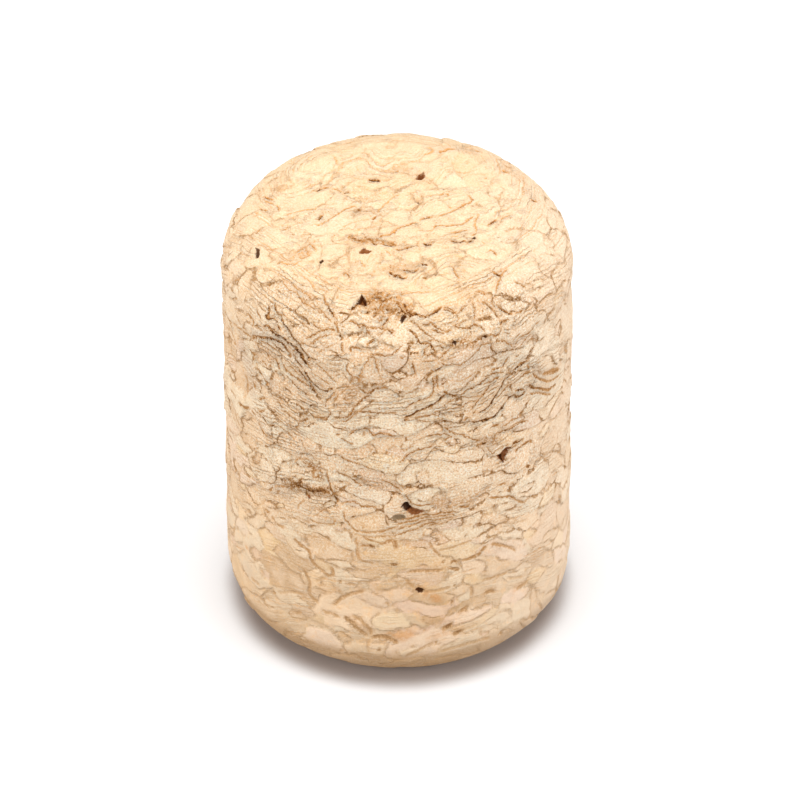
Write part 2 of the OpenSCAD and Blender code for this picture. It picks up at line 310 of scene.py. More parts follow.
def granuleField(points, centres, size, across, flatness):
    # For each point: its own granule, the next one, and the distance to the edge between
    # them. A granule is a flattened ball, so a point's squared distance from its centre is
    # (|p|^2 + (flatness^2 - 1) (p . across)^2) / size^2, and the edge is where two are equal.
    stretch = flatness**2 - 1
    own = np.zeros(len(points), int)
    nextOne = np.zeros(len(points), int)
    edge = np.zeros(len(points))
    for start in range(0, len(points), 4000):
        p = points[start:start + 4000]
        plain = ((p**2).sum(1)[:, None] - 2 * p @ centres.T + (centres**2).sum(1))
        along = p @ across.T - (centres * across).sum(1)
        far = (plain + stretch * along**2) / size**2
        rows = np.arange(len(p))
        first = far.argmin(1)
        near = far[rows, first]
        far[rows, first] = np.inf
        second = far.argmin(1)
        gap = far[rows, second] - near
        slopes = []
        for k in (second, first):
            offset = p - centres[k]
            lean = (offset * across[k]).sum(1, keepdims=True) * across[k]
            slopes.append(2 * (offset + stretch * lean) / size[k, None]**2)
        own[start:start + 4000] = first
        nextOne[start:start + 4000] = second
        edge[start:start + 4000] = gap / np.linalg.norm(slopes[0] - slopes[1], axis=1)
    return own, nextOne, edge


def colourGranules(own, nextOne, edge, count):
    # Each granule gets a code of 3 bits that differs from its neighbours' codes
    close = edge < 0.3
    pairs = np.unique(np.sort(np.stack([own[close], nextOne[close]], -1), 1), axis=0)
    neighbours = [[] for _ in range(count)]
    for a, b in pairs:
        neighbours[a].append(b)
        neighbours[b].append(a)
    code = np.full(count, -1)
    order = np.argsort([-len(n) for n in neighbours], kind="stable")
    for g in order:
        used = {code[n] for n in neighbours[g]}
        free = [c for c in range(8) if c not in used]
        code[g] = free[0] if free else g % 8
    return code


def signedEdges(own, edge, code):
    # Three distances to the edge, signed by the bits of the granule's code, so that at
    # least one of them passes straight through zero at every edge
    bits = (code[own][:, None] >> np.arange(3)) & 1
    return np.where(bits == 1, 1, -1) * edge[:, None]


centres, size, across = sowGranules()
warped = warp(places, granules["warp"], 40)
own, nextOne, edge = granuleField(warped, centres, size, across, granules["flatness"])
edges = signedEdges(own, edge, colourGranules(own, nextOne, edge, len(centres)))
print("granules sown:", len(centres), "seen:", len(np.unique(own)))

# Seams between granules, and cracks along their layers, on the side that shows best. Each
# has its darkness, its half width in mm, and the points that it runs through. These first
# ones run through turns and arcs on the wall, where two are seen places.
wallSeamsByTurn = [
    (1, 0.1, [(-15.9, 43.35), (-16.6, 43.05), (-17.5, 42.75), (-18.2, 42.4)]),
    (1, 0.1, [(40.8, 29.7), (41.5, 29.8), (42.6, 29.75)]),
    (0.85, 0.08, [(42.6, 29.75), (44, 29.75), (45.6, 29.65)]),
    (0.95, 0.1, [(-32.4, 27.65), (-33.5, 27.35), (-34.4, 27.05), (-33.5, 26.95), (-32, 26.85),
                 (-30.5, 26.83), (-29.5, 26.85), (-27.5, 27.05), (-26, 27.15), (-24, 27.05)]),
    (0.7, 0.09, seenOnWall([(292.5, 484.3), (296, 485), (300, 485.5)])),
    (0.85, 0.09, seenOnWall([(305, 490), (307, 493.5), (309, 496.8)])),
    (0.45, 0.04, [(-34, 31.2), (-32.5, 30.7), (-31, 30.2), (-29.5, 30), (-28, 29.6)]),
    (0.55, 0.04, [(-31, 43.2), (-28, 42.5), (-25, 42.1), (-22.5, 41.7), (-21, 41.2)]),
    (0.35, 0.04, [(-51, 42.7), (-46, 42.4), (-42, 42.45), (-37, 42.1), (-31, 41.9), (-27, 41.7),
                  (-23, 41.4)]),
    (0.35, 0.04, [(-47, 42.9), (-43, 42.75), (-38, 42.7), (-33, 42.3)]),
    (0.35, 0.04, [(-48, 43.8), (-43, 43.7), (-38, 43.5), (-34, 43)]),
    (0.5, 0.05, [(-15.5, 38.8), (-17, 38.2), (-15, 37.6), (-16, 36.8)]),
    (0.6, 0.05, [(-18.3, 41.8), (-16, 41.75), (-13.5, 41.6), (-11.5, 41.6), (-9.5, 40.9)]),
    (0.55, 0.05, [(-15.6, 39.4), (-15.7, 39.9), (-14.5, 40), (-12, 39.9), (-10.5, 39.95)]),
    (0.85, 0.07, [(-10.5, 40.3), (-8.5, 40.6), (-7.5, 40.9)]),
    (0.4, 0.05, [(-7.5, 40.9), (-5.5, 41.2), (-3, 41.5), (0, 41.2)]),
    (0.5, 0.05, [(-12, 41.6), (-9, 41.5), (-6, 41.5), (-3, 41.4)]),
    (0.6, 0.05, [(-9.8, 39.5), (-7, 39.65), (-3, 39.65), (-1, 39.9), (2, 40.5)]),
    (0.5, 0.05, [(-11, 39.2), (-8, 39.4), (-7, 38.8), (-6, 37.9)]),
    (0.4, 0.04, [(-8.5, 39.4), (-10.5, 38.8), (-12, 38), (-13, 37.2)]),
    (0.6, 0.05, [(-14, 36.3), (-12, 36.5), (-10, 36.2), (-8, 36.6), (-5, 36.9), (-2, 37.2)]),
    (0.6, 0.05, [(-16, 34.1), (-14.5, 34.9), (-12.5, 35.5), (-10, 36), (-8, 36.1)]),
    (0.6, 0.05, [(-20, 34), (-17, 34.1), (-15, 34.6), (-12, 34.8), (-8, 34.8), (-4, 34.8), (0, 34.9)]),
    (0.5, 0.05, [(-19, 33.7), (-16.5, 33.9), (-14, 34.5), (-11, 35.1), (-8, 35.4)]),
    (0.6, 0.05, [(-16.2, 32.6), (-14.5, 33.1), (-12, 33.3), (-9.5, 33.2), (-8, 32.8), (-6, 33.1),
                 (-3, 33.1), (0, 32.8), (2, 33.1)]),
    (0.6, 0.05, [(-19.2, 32.4), (-17.5, 32.2), (-16, 32), (-14.2, 32.1)]),
    (0.55, 0.05, [(-20.9, 30.8), (-18.5, 30.5), (-14.5, 30.2), (-10.5, 29.95), (-6.5, 29.75)]),
    (0.6, 0.05, [(-21.8, 29.1), (-17.5, 28.9), (-13.3, 28.6), (-10.8, 28.3)]),
    (0.55, 0.05, [(-6.3, 29), (-3.3, 28.7), (-0.3, 28.2), (2, 28)]),
    (0.55, 0.06, [(-24, 29.2), (-23.5, 28.3), (-22.6, 27.6), (-21.4, 26.95)]),
    (0.95, 0.11, [(-21.7, 27), (-20.8, 26.8), (-20, 26.5)]),
    (0.8, 0.1, [(-39, 26.6), (-36, 26.9), (-34.4, 27.2), (-32.5, 26.95), (-29.5, 26.9), (-26, 27.25),
                (-22.5, 27.1)]),
    (0.75, 0.09, [(-34.6, 27.2), (-33.5, 27.6), (-32.6, 27.8)]),
    (0.5, 0.06, [(-38, 26.6), (-36.5, 26.3)]),
    (0.55, 0.05, [(-19.5, 26.4), (-17.2, 26.7), (-14.7, 26.85), (-12.5, 26.6), (-10.3, 26.6),
                  (-6.3, 26.5)]),
    (0.5, 0.05, [(-18.2, 26.1), (-17.4, 25.2), (-14.4, 24.35), (-9.3, 24.3), (-4.3, 24.6), (-0.3, 25.1)]),
    (0.4, 0.05, [(-15.4, 24), (-11, 23.85), (-6, 24), (-1.5, 24.2)]),
    (0.5, 0.06, [(-13.2, 23.8), (-9.3, 23.65), (-5.3, 23.5), (-3.3, 23.75), (-1.8, 23.5), (-1.4, 22.8)]),
    (0.45, 0.06, [(-13.7, 23.8), (-14.2, 23.3), (-13.2, 22.7)]),
    (0.9, 0.1, [(-10.6, 23.1), (-8.9, 23.05), (-7.4, 23.05)]),
    (0.75, 0.1, [(-51.2, 22.8), (-49.8, 22.9), (-48.2, 22.95)]),
    (0.45, 0.1, [(-48, 22.9), (-46.6, 22.7), (-43.6, 22.5), (-40, 22.6)]),
    (0.6, 0.09, [(-47.8, 24.9), (-46.6, 25.3), (-45.4, 25.7)]),
    (0.4, 0.07, [(-45.4, 25.7), (-43.5, 25.9), (-40.5, 26.2), (-38, 26.6)]),
    (0.4, 0.06, [(-32.5, 24.1), (-29.7, 24.05)]),
    (0.35, 0.05, [(-35.6, 24.5), (-34.6, 25.2), (-33, 25.7), (-31.5, 26.2)]),
    (0.4, 0.05, [(-31.5, 24.4), (-28.5, 24.3), (-25.2, 24.35), (-22.2, 24.4), (-20.8, 25.2)]),
    (0.3, 0.05, [(-28.7, 24.75), (-26.2, 25.3), (-23.7, 25.6)]),
    (0.3, 0.05, [(-34, 29.2), (-31.5, 29.6), (-29.5, 29.4), (-28.6, 28.6), (-29, 27.8)]),
    (0.4, 0.05, [(-36.5, 28.7), (-34, 29.4), (-32.6, 29.3)]),
    (0.8, 0.07, [(-1, 43.6), (1.5, 42.9), (4, 42.5), (6.5, 42.55), (10, 42.2), (13, 42.4), (15.5, 42.6),
                 (18, 42.9)]),
    (0.6, 0.12, [(13.5, 42.45), (15.5, 42.65), (17, 42.8)]),
    (0.6, 0.05, [(17, 42.75), (19.5, 42.6), (21.3, 42.2), (22.3, 41.9)]),
    (0.6, 0.06, [(33, 43.1), (34.5, 42.95), (36.3, 42.6)]),
    (0.5, 0.05, [(39.3, 42.3), (42.8, 42.9), (46.3, 43.2), (49.3, 43.4), (53, 43.4)]),
    (0.9, 0.07, [(45.4, 43.9), (45.8, 43.5), (46.6, 43.35)]),
    (0.7, 0.06, [(48.4, 43.6), (49, 43.45)]),
    (0.55, 0.05, [(49.5, 42.6), (51.2, 42.1), (53.7, 41.5)]),
    (0.3, 0.04, [(-2, 44.2), (6, 44.3), (12, 44.2), (16, 44)]),
    (0.45, 0.05, [(41.3, 38.6), (43.8, 38.8), (47.8, 38.7), (50.7, 38.9), (54.2, 38.9)]),
    (0.5, 0.05, [(15, 33.3), (18.4, 32.5), (22.4, 32.1), (25.9, 31.5), (28.3, 31.1)]),
    (0.95, 0.1, [(28.2, 31), (29.6, 30.9), (30.8, 30.9)]),
    (0.8, 0.09, [(31.6, 30.75), (33, 30.7)]),
    (0.4, 0.05, [(14.5, 32.1), (19, 32.2)]),
    (0.5, 0.05, [(0, 30.6), (4, 31.3), (8, 31.7), (13, 31.9)]),
    (0.4, 0.05, [(0.5, 31.5), (3, 31.6), (6, 32.2)]),
    (0.5, 0.07, [(31.3, 32.2), (34.8, 32.05)]),
    (0.4, 0.07, [(33.8, 31.05), (39.8, 31.4), (46.8, 31.3)]),
    (0.45, 0.05, [(30.3, 30.7), (31.3, 30.1), (32.8, 29.8), (34.8, 30), (39.8, 29.95)]),
    (0.8, 0.1, [(40, 29.7), (41.5, 29.85), (43.5, 29.7), (46, 29.65)]),
    (0.6, 0.1, [(41.8, 28.85), (44.8, 29), (48.8, 29), (51.2, 28.6)]),
    (0.85, 0.13, [(47.6, 26.95), (48.8, 26.85), (49.8, 26.7)]),
    (0.6, 0.05, [(3, 28), (2.6, 27.6), (4, 27), (6, 26.7), (10, 26.65), (12.4, 26.6)]),
    (0.75, 0.06, [(18.9, 26.1), (21, 26.1), (22.9, 25.95), (24.5, 26.1)]),
    (0.6, 0.06, [(-1.5, 25.5), (2, 25.6), (5, 25.65), (9, 25.8), (14.9, 25.9), (20, 25.7)]),
    (0.55, 0.06, [(-1.5, 25.1), (2, 25.3), (6, 25.4), (10, 25.6), (15, 25.65), (19.4, 25.5)]),
    (0.5, 0.06, [(-1.5, 24.7), (2, 24.95), (5, 25.1), (10, 25.35), (16, 25.4), (19, 25.35)]),
    (0.55, 0.06, [(-2, 24.1), (1, 24.4), (5, 24.7), (10, 25), (14, 25.1)]),
    (0.45, 0.06, [(9, 24.7), (12, 24.9), (15, 25), (19, 25.3)]),
    (0.4, 0.08, [(8, 24.6), (8.2, 23.9)]),
    (0.45, 0.07, [(9.8, 23.7), (10.9, 23), (12.4, 22.5), (14.4, 21.8)]),
    (0.45, 0.1, [(30.8, 26), (34.8, 25.7), (39.8, 25.3), (42.8, 24.65), (45.8, 24.2), (48.8, 24.3)]),
    (0.4, 0.1, [(33.8, 26.7), (38.3, 26.6), (39.8, 26.5)]),
    (0.25, 0.12, [(37.3, 23.3), (41.8, 22.8), (47.8, 22.4)]),
]

# The rest run through points of the camera's view, each a column and a row. These lie in
# the crumbled hollow behind the front edge.
hollowSeams = [
    (1.2, 0.07, [(370, 297), (374, 297.5), (378, 298), (381, 298.5), (383, 299.5)]),
    (0.9, 0.06, [(373.5, 296.5), (375, 294.5)]),
    (0.9, 0.06, [(385, 297.5), (388, 295.5), (390, 293.5)]),
    (0.5, 0.06, [(375, 293), (380, 293), (384, 294)]),
    (0.9, 0.06, [(378, 300), (382, 301.5), (386, 301), (388, 303)]),
    (0.8, 0.06, [(376, 303), (379, 303)]),
    (0.8, 0.06, [(390, 299), (393, 298.5)]),
    (0.9, 0.11, [(394.7, 296), (397.5, 296.5)]),
    (1.2, 0.07, [(395, 301.8), (398, 301.2)]),
    (0.8, 0.06, [(385, 307.5), (388, 309.5), (390, 309.5), (393, 307)]),
    (0.7, 0.06, [(382, 308), (378, 310)]),
    (0.7, 0.06, [(376, 306.5), (378, 308)]),
    (0.9, 0.06, [(394, 311), (396, 309.5), (397, 312)]),
    (0.8, 0.07, [(391, 317), (388, 318.5), (387, 321), (384, 325), (382, 328.5)]),
    (1.2, 0.09, [(398, 312), (400, 313.5)]),
    (1.1, 0.08, [(404, 315.5), (407, 316)]),
    (0.7, 0.06, [(402, 305), (404, 304.3), (406, 306), (408, 308)]),
    (0.7, 0.06, [(405, 309), (407, 311.5)]),
    (0.8, 0.06, [(409, 310), (411, 312.5)]),
    (0.6, 0.06, [(408, 316), (413, 315), (416, 314)]),
    (0.5, 0.05, [(379, 317), (378, 319.5), (380, 321.5), (382, 320.5), (381, 318)]),
    (0.8, 0.07, [(374, 314.5), (376, 315)]),
    (0.7, 0.06, [(367.5, 300.5), (370, 302), (371, 304)]),
    (0.8, 0.07, [(361, 310), (364, 310)]),
    (0.8, 0.06, [(368, 311), (368.5, 315)]),
    (0.6, 0.05, [(355, 325), (358, 326), (360, 327), (362, 327)]),
    (0.7, 0.06, [(367, 331), (370, 333), (372, 334)]),
    (0.6, 0.06, [(378, 328), (380, 329)]),
    (0.7, 0.05, [(387, 329), (390, 331), (393, 333), (396, 334)]),
    (0.6, 0.05, [(413, 313), (417, 314), (420, 315)]),
    (1.3, 0.1, [(357, 302.5), (354.5, 305.5), (352, 308.5), (350, 311)]),
    (0.9, 0.07, [(365.8, 303), (366.2, 306)]),
]

lowerWallSeams = [
    (0.6, 0.11, [(293, 536), (297, 542), (303, 547), (309, 551), (311, 556), (312, 562), (315, 566),
                 (320, 570), (325, 573), (330, 576), (333, 574), (331, 569), (327, 566)]),
    (0.6, 0.11, [(300, 567), (304, 571), (307, 577), (309, 583), (309, 588), (308, 592), (311, 598),
                 (316, 602), (320, 606)]),
    (0.3, 0.14, [(285, 540), (292, 549), (297, 556), (304, 560), (311, 564)]),
    (0.7, 0.11, [(338, 581.5), (343, 582.5)]),
    (0.5, 0.1, [(343, 582.5), (350, 584), (358, 586)]),
    (0.65, 0.11, [(331, 606), (336, 603), (342, 598), (347, 596), (353, 594), (360, 592), (366, 590)]),
    (0.5, 0.12, [(321, 607), (325, 612), (331, 613), (337, 616), (343, 618)]),
    (0.8, 0.14, [(344, 614), (346, 618), (351, 622), (357, 628), (363, 633), (369, 638)]),
    (0.6, 0.12, [(350, 615), (358, 618), (365, 624), (370, 630), (371, 638)]),
    (0.9, 0.14, [(369, 638), (376, 637.5), (383, 637), (389, 639), (395, 642), (401, 643)]),
    (0.35, 0.12, [(369, 638), (368, 645), (370, 655)]),
    (0.9, 0.16, [(378.5, 650.3), (381.5, 650)]),
    (0.35, 0.16, [(339, 651), (345, 650)]),
    (0.7, 0.12, [(271, 592), (276, 593)]),
    (0.35, 0.12, [(277, 593), (285, 592), (292, 593), (300, 594), (306, 600)]),
    (0.5, 0.13, [(291, 612), (297, 613), (303, 612)]),
    (0.4, 0.12, [(264, 597), (270, 600)]),
    (0.4, 0.16, [(250, 577), (256, 582), (262, 585)]),
    (0.6, 0.14, [(321, 582), (322, 586)]),
    (0.4, 0.11, [(313, 582), (320, 580), (326, 576)]),
    (0.4, 0.11, [(338, 588), (341, 593), (345, 597)]),
    (1.1, 0.11, [(389, 566), (392, 565.7), (396, 565.3), (399, 566)]),
    (1.1, 0.11, [(369, 547.8), (372.5, 548), (376, 548.6)]),
    (0.6, 0.09, [(360, 547), (365, 547), (369, 547.5)]),
    (0.6, 0.1, [(376, 546), (383, 543), (390, 541), (395, 541), (396, 546), (396, 551)]),
    (0.5, 0.09, [(358, 540), (357, 548), (358, 556), (361, 561), (368, 563), (376, 566)]),
    (0.6, 0.1, [(405, 575), (412, 572), (420, 571.5), (430, 571.5), (440, 571), (447, 570)]),
    (1, 0.1, [(447, 570), (451, 569.3), (456, 569.6), (461, 571)]),
    (0.5, 0.1, [(407, 577), (408, 582), (412, 586), (416, 590)]),
    (0.45, 0.1, [(425, 591), (435, 591), (445, 589), (453, 587)]),
    (0.75, 0.11, [(454, 586.5), (458, 585)]),
    (0.6, 0.1, [(441, 562), (446, 562)]),
    (0.95, 0.1, [(450, 562), (454, 562.3), (459, 561.8)]),
    (0.65, 0.1, [(459, 561.8), (464, 561), (470, 559), (477, 556), (481, 551), (484, 547), (489, 544)]),
    (0.5, 0.1, [(489, 544), (497, 544), (505, 546), (512, 548), (516, 552)]),
    (0.35, 0.09, [(436, 550), (446, 549), (455, 546), (465, 542), (475, 539)]),
    (0.5, 0.12, [(480, 582), (487, 580), (495, 577), (503, 574), (510, 571)]),
    (0.75, 0.12, [(483, 598), (487, 593), (491, 591.5), (497, 592)]),
    (0.6, 0.14, [(514, 590), (518, 588), (523, 584), (530, 580)]),
    (0.75, 0.12, [(468, 604), (466, 609), (461, 612), (457, 616)]),
    (0.5, 0.12, [(471, 585), (472, 592), (470, 598)]),
    (1.3, 0.12, [(442, 630), (446, 628), (450, 625.5), (454, 625)]),
    (1.1, 0.14, [(450, 634), (455, 633), (460, 631), (465, 629)]),
    (0.7, 0.14, [(434, 643), (438, 641)]),
    (0.45, 0.14, [(404, 657), (412, 653), (420, 650), (428, 645), (436, 640)]),
    (0.4, 0.14, [(438, 652), (446, 650), (456, 647), (468, 643), (480, 640), (492, 636)]),
    (0.7, 0.14, [(499, 634), (503, 633)]),
    (0.6, 0.14, [(422, 631), (424, 629)]),
    (0.9, 0.12, [(450, 602.3), (454, 602)]),
    (0.5, 0.12, [(384, 602), (387, 604), (390, 607)]),
    (0.35, 0.12, [(505, 578), (515, 578), (525, 576)]),
    (0.3, 0.14, [(458, 630), (470, 627), (480, 622)]),
]

rightShoulderSeams = [
    (0.5, 0.15, [(541, 374), (547, 373), (553, 371), (559, 368)]),
    (0.75, 0.08, [(546, 374), (552, 373), (557, 370), (559.5, 367)]),
    (0.6, 0.06, [(532, 371), (534, 375), (538, 378), (543, 380), (548, 381), (552, 380), (556, 377),
                 (560, 375)]),
    (0.75, 0.08, [(528, 384), (532, 387), (537, 388), (542, 389), (547, 389.5), (551, 388), (554, 386),
                  (557, 384.5)]),
    (0.5, 0.06, [(529, 394), (533, 393), (539, 392.5), (545, 394), (552, 394.5)]),
    (0.95, 0.08, [(507, 403), (509, 399), (514, 395.5), (518, 397.5), (522, 396.5), (525, 393),
                  (525, 389.5)]),
    (0.8, 0.08, [(514, 391.5), (518, 390), (522, 390), (525, 389)]),
    (0.7, 0.08, [(511, 383), (511, 387), (513, 391)]),
    (0.5, 0.07, [(526, 364), (528, 368)]),
    (0.5, 0.07, [(512, 385), (517, 381), (522, 377), (528, 373), (531, 371.5)]),
    (0.5, 0.05, [(536, 362), (540, 356), (544, 350)]),
]

upperLeftSeams = [
    (0.95, 0.09, [(268, 327), (272, 330), (276, 334), (281, 337), (284, 340), (287, 343), (291, 345),
                  (294, 348), (298, 353), (303, 358), (308, 364), (311, 368)]),
    (0.7, 0.06, [(262, 327), (268, 325.5), (272, 328), (277, 331), (281, 334)]),
    (0.85, 0.08, [(252, 336), (256, 336), (262, 337), (268, 338), (274, 339), (279, 341.5), (283, 345),
                  (286, 350), (289, 354.5), (292, 359)]),
    (0.55, 0.05, [(260, 340), (266, 342), (270, 345), (275, 349), (278, 349)]),
    (0.6, 0.14, [(252, 339), (256, 337), (259, 337)]),
    (0.85, 0.07, [(291, 353), (294, 357), (298, 361), (302, 365), (305, 368)]),
    (0.95, 0.06, [(305, 368), (307, 373), (310, 378), (313, 384), (317, 388), (320, 390.5), (324, 391.5),
                  (330, 390), (334, 389)]),
    (0.85, 0.06, [(274, 300), (274, 308), (276, 313), (280, 316), (283, 321), (286, 327), (289, 332),
                  (292, 338), (296, 342), (299, 346), (302, 351), (305, 354), (308, 358), (311, 362)]),
    (0.75, 0.06, [(266, 303), (268, 309), (267, 316), (268, 318.5), (272, 318.5), (275, 321), (278, 325),
                  (281, 329), (283, 333)]),
    (0.55, 0.06, [(256, 306), (257, 313), (260, 316), (262, 321)]),
    (0.5, 0.06, [(244, 314), (248, 316), (252, 321), (254, 327), (256, 330)]),
    (0.5, 0.07, [(224, 311), (228, 318), (231, 325), (232, 332)]),
    (0.35, 0.08, [(226, 325), (230, 332), (234, 342), (238, 347)]),
    (0.45, 0.06, [(232, 324), (238, 326), (243, 330), (248, 335), (252, 338)]),
    (0.5, 0.09, [(243, 322), (244, 327), (247, 332)]),
    (0.5, 0.05, [(250, 346), (253, 352), (255, 360), (257, 368)]),
    (0.9, 0.08, [(257, 368), (259, 372), (262, 377)]),
    (0.6, 0.05, [(262, 377), (266, 383), (269, 387)]),
    (0.7, 0.1, [(262, 349), (266, 353), (270, 358)]),
    (0.5, 0.12, [(256, 350), (262, 355)]),
    (0.55, 0.06, [(260, 361), (264, 363), (268, 366)]),
    (0.6, 0.06, [(274, 357), (277, 361), (279, 366), (281, 371)]),
    (0.7, 0.07, [(276, 370), (277, 373)]),
    (0.45, 0.05, [(281, 362), (284, 367), (287, 371), (292, 376), (299, 381), (306, 385), (310, 388)]),
    (0.6, 0.06, [(284, 375), (288, 380), (292, 384), (298, 388), (305, 392), (312, 396)]),
    (0.45, 0.05, [(286, 366), (292, 369), (296, 373), (300, 377)]),
    (0.7, 0.06, [(298, 366), (302, 372), (306, 378), (309, 384), (312, 389), (316, 394), (318, 397)]),
    (0.5, 0.06, [(279, 372), (282, 378), (284, 384)]),
    (0.6, 0.07, [(282, 386), (285, 390), (289, 393), (292, 398)]),
    (0.8, 0.08, [(299, 400), (303, 401), (306, 403), (309, 406), (314, 406.5)]),
    (0.6, 0.08, [(295, 402), (298, 405), (301, 408), (306, 411)]),
    (0.55, 0.05, [(281, 410), (286, 412), (291, 416), (296, 419), (300, 421.5), (304, 421), (308, 417)]),
    (0.65, 0.05, [(308, 412), (311, 416), (314, 418.5), (320, 419), (326, 418.5), (329, 416), (331, 412),
                  (330, 408)]),
    (0.6, 0.05, [(300, 421.5), (298, 426), (295, 429)]),
    (0.55, 0.05, [(277, 398), (279, 403), (282, 407), (285, 408)]),
    (0.7, 0.09, [(239, 400), (242, 404), (246, 407), (250, 409)]),
    (0.4, 0.06, [(231, 388), (235, 393), (239, 399)]),
    (0.5, 0.07, [(250, 409), (254, 413), (257, 416)]),
    (0.45, 0.06, [(257, 420), (260, 427), (264, 433), (269, 438)]),
    (0.45, 0.12, [(243, 373), (246, 378), (247, 384), (247, 391), (250, 397)]),
    (0.55, 0.08, [(252, 382), (254, 386), (256, 390)]),
    (0.5, 0.06, [(258, 381), (260, 387), (262, 392)]),
    (0.6, 0.08, [(269, 391), (271, 394), (273, 397)]),
    (0.6, 0.07, [(277, 392), (279, 395)]),
    (0.5, 0.06, [(258, 399), (263, 398), (267, 400)]),
    (0.5, 0.07, [(258, 410), (263, 410.5), (267, 408)]),
    (0.75, 0.08, [(270, 425.5), (273, 425), (275, 424)]),
    (0.5, 0.05, [(276, 424), (282, 427), (287, 432), (291, 436), (296, 440)]),
    (0.4, 0.06, [(231, 396), (234, 404), (236, 412), (238, 420), (242, 428)]),
    (0.85, 0.06, [(326, 302), (328, 306), (331, 311), (333, 315), (335, 319)]),
    (0.6, 0.05, [(335, 319), (335, 323), (337, 327), (338, 331), (340, 335)]),
    (0.9, 0.06, [(339, 334), (341, 338), (342, 341)]),
    (0.5, 0.05, [(310, 301), (315, 306), (320, 310), (325, 315), (329, 320), (333, 321)]),
    (0.45, 0.05, [(313, 320), (315, 325), (319, 328), (324, 330)]),
    (0.6, 0.05, [(303, 338), (307, 338.5), (312, 336), (317, 333), (322, 331), (328, 329.5), (334, 329),
                 (337, 331)]),
    (0.5, 0.05, [(308, 345), (313, 343), (318, 339), (323, 336), (329, 335), (335, 335)]),
    (0.3, 0.04, [(316, 355), (321, 351), (327, 347), (333, 345), (339, 343)]),
    (0.4, 0.05, [(297, 345), (303, 343.5), (307, 345)]),
    (0.45, 0.05, [(280, 309), (284, 314), (288, 317)]),
    (0.5, 0.05, [(300, 321), (303, 325), (306, 328)]),
    (0.45, 0.05, [(314, 362), (318, 366), (322, 370), (326, 374), (330, 379), (335, 383), (338, 386)]),
    (0.4, 0.05, [(311, 370), (316, 375), (322, 380), (327, 384), (331, 387)]),
    (0.7, 0.06, [(334, 378), (337, 377), (340, 375)]),
    (0.55, 0.05, [(336, 392), (333, 396), (329, 399), (326, 403), (327, 408)]),
    (0.5, 0.05, [(339, 394), (336, 399), (334, 404)]),
    (0.9, 0.07, [(335.5, 404.5), (337.5, 406)]),
    (0.95, 0.09, [(336.5, 420.5), (333.5, 422.5)]),
    (0.9, 0.1, [(337.5, 434), (340.5, 434)]),
    (0.6, 0.06, [(340, 417), (345, 417)]),
    (0.55, 0.05, [(342, 341), (342, 348), (343, 355)]),
]

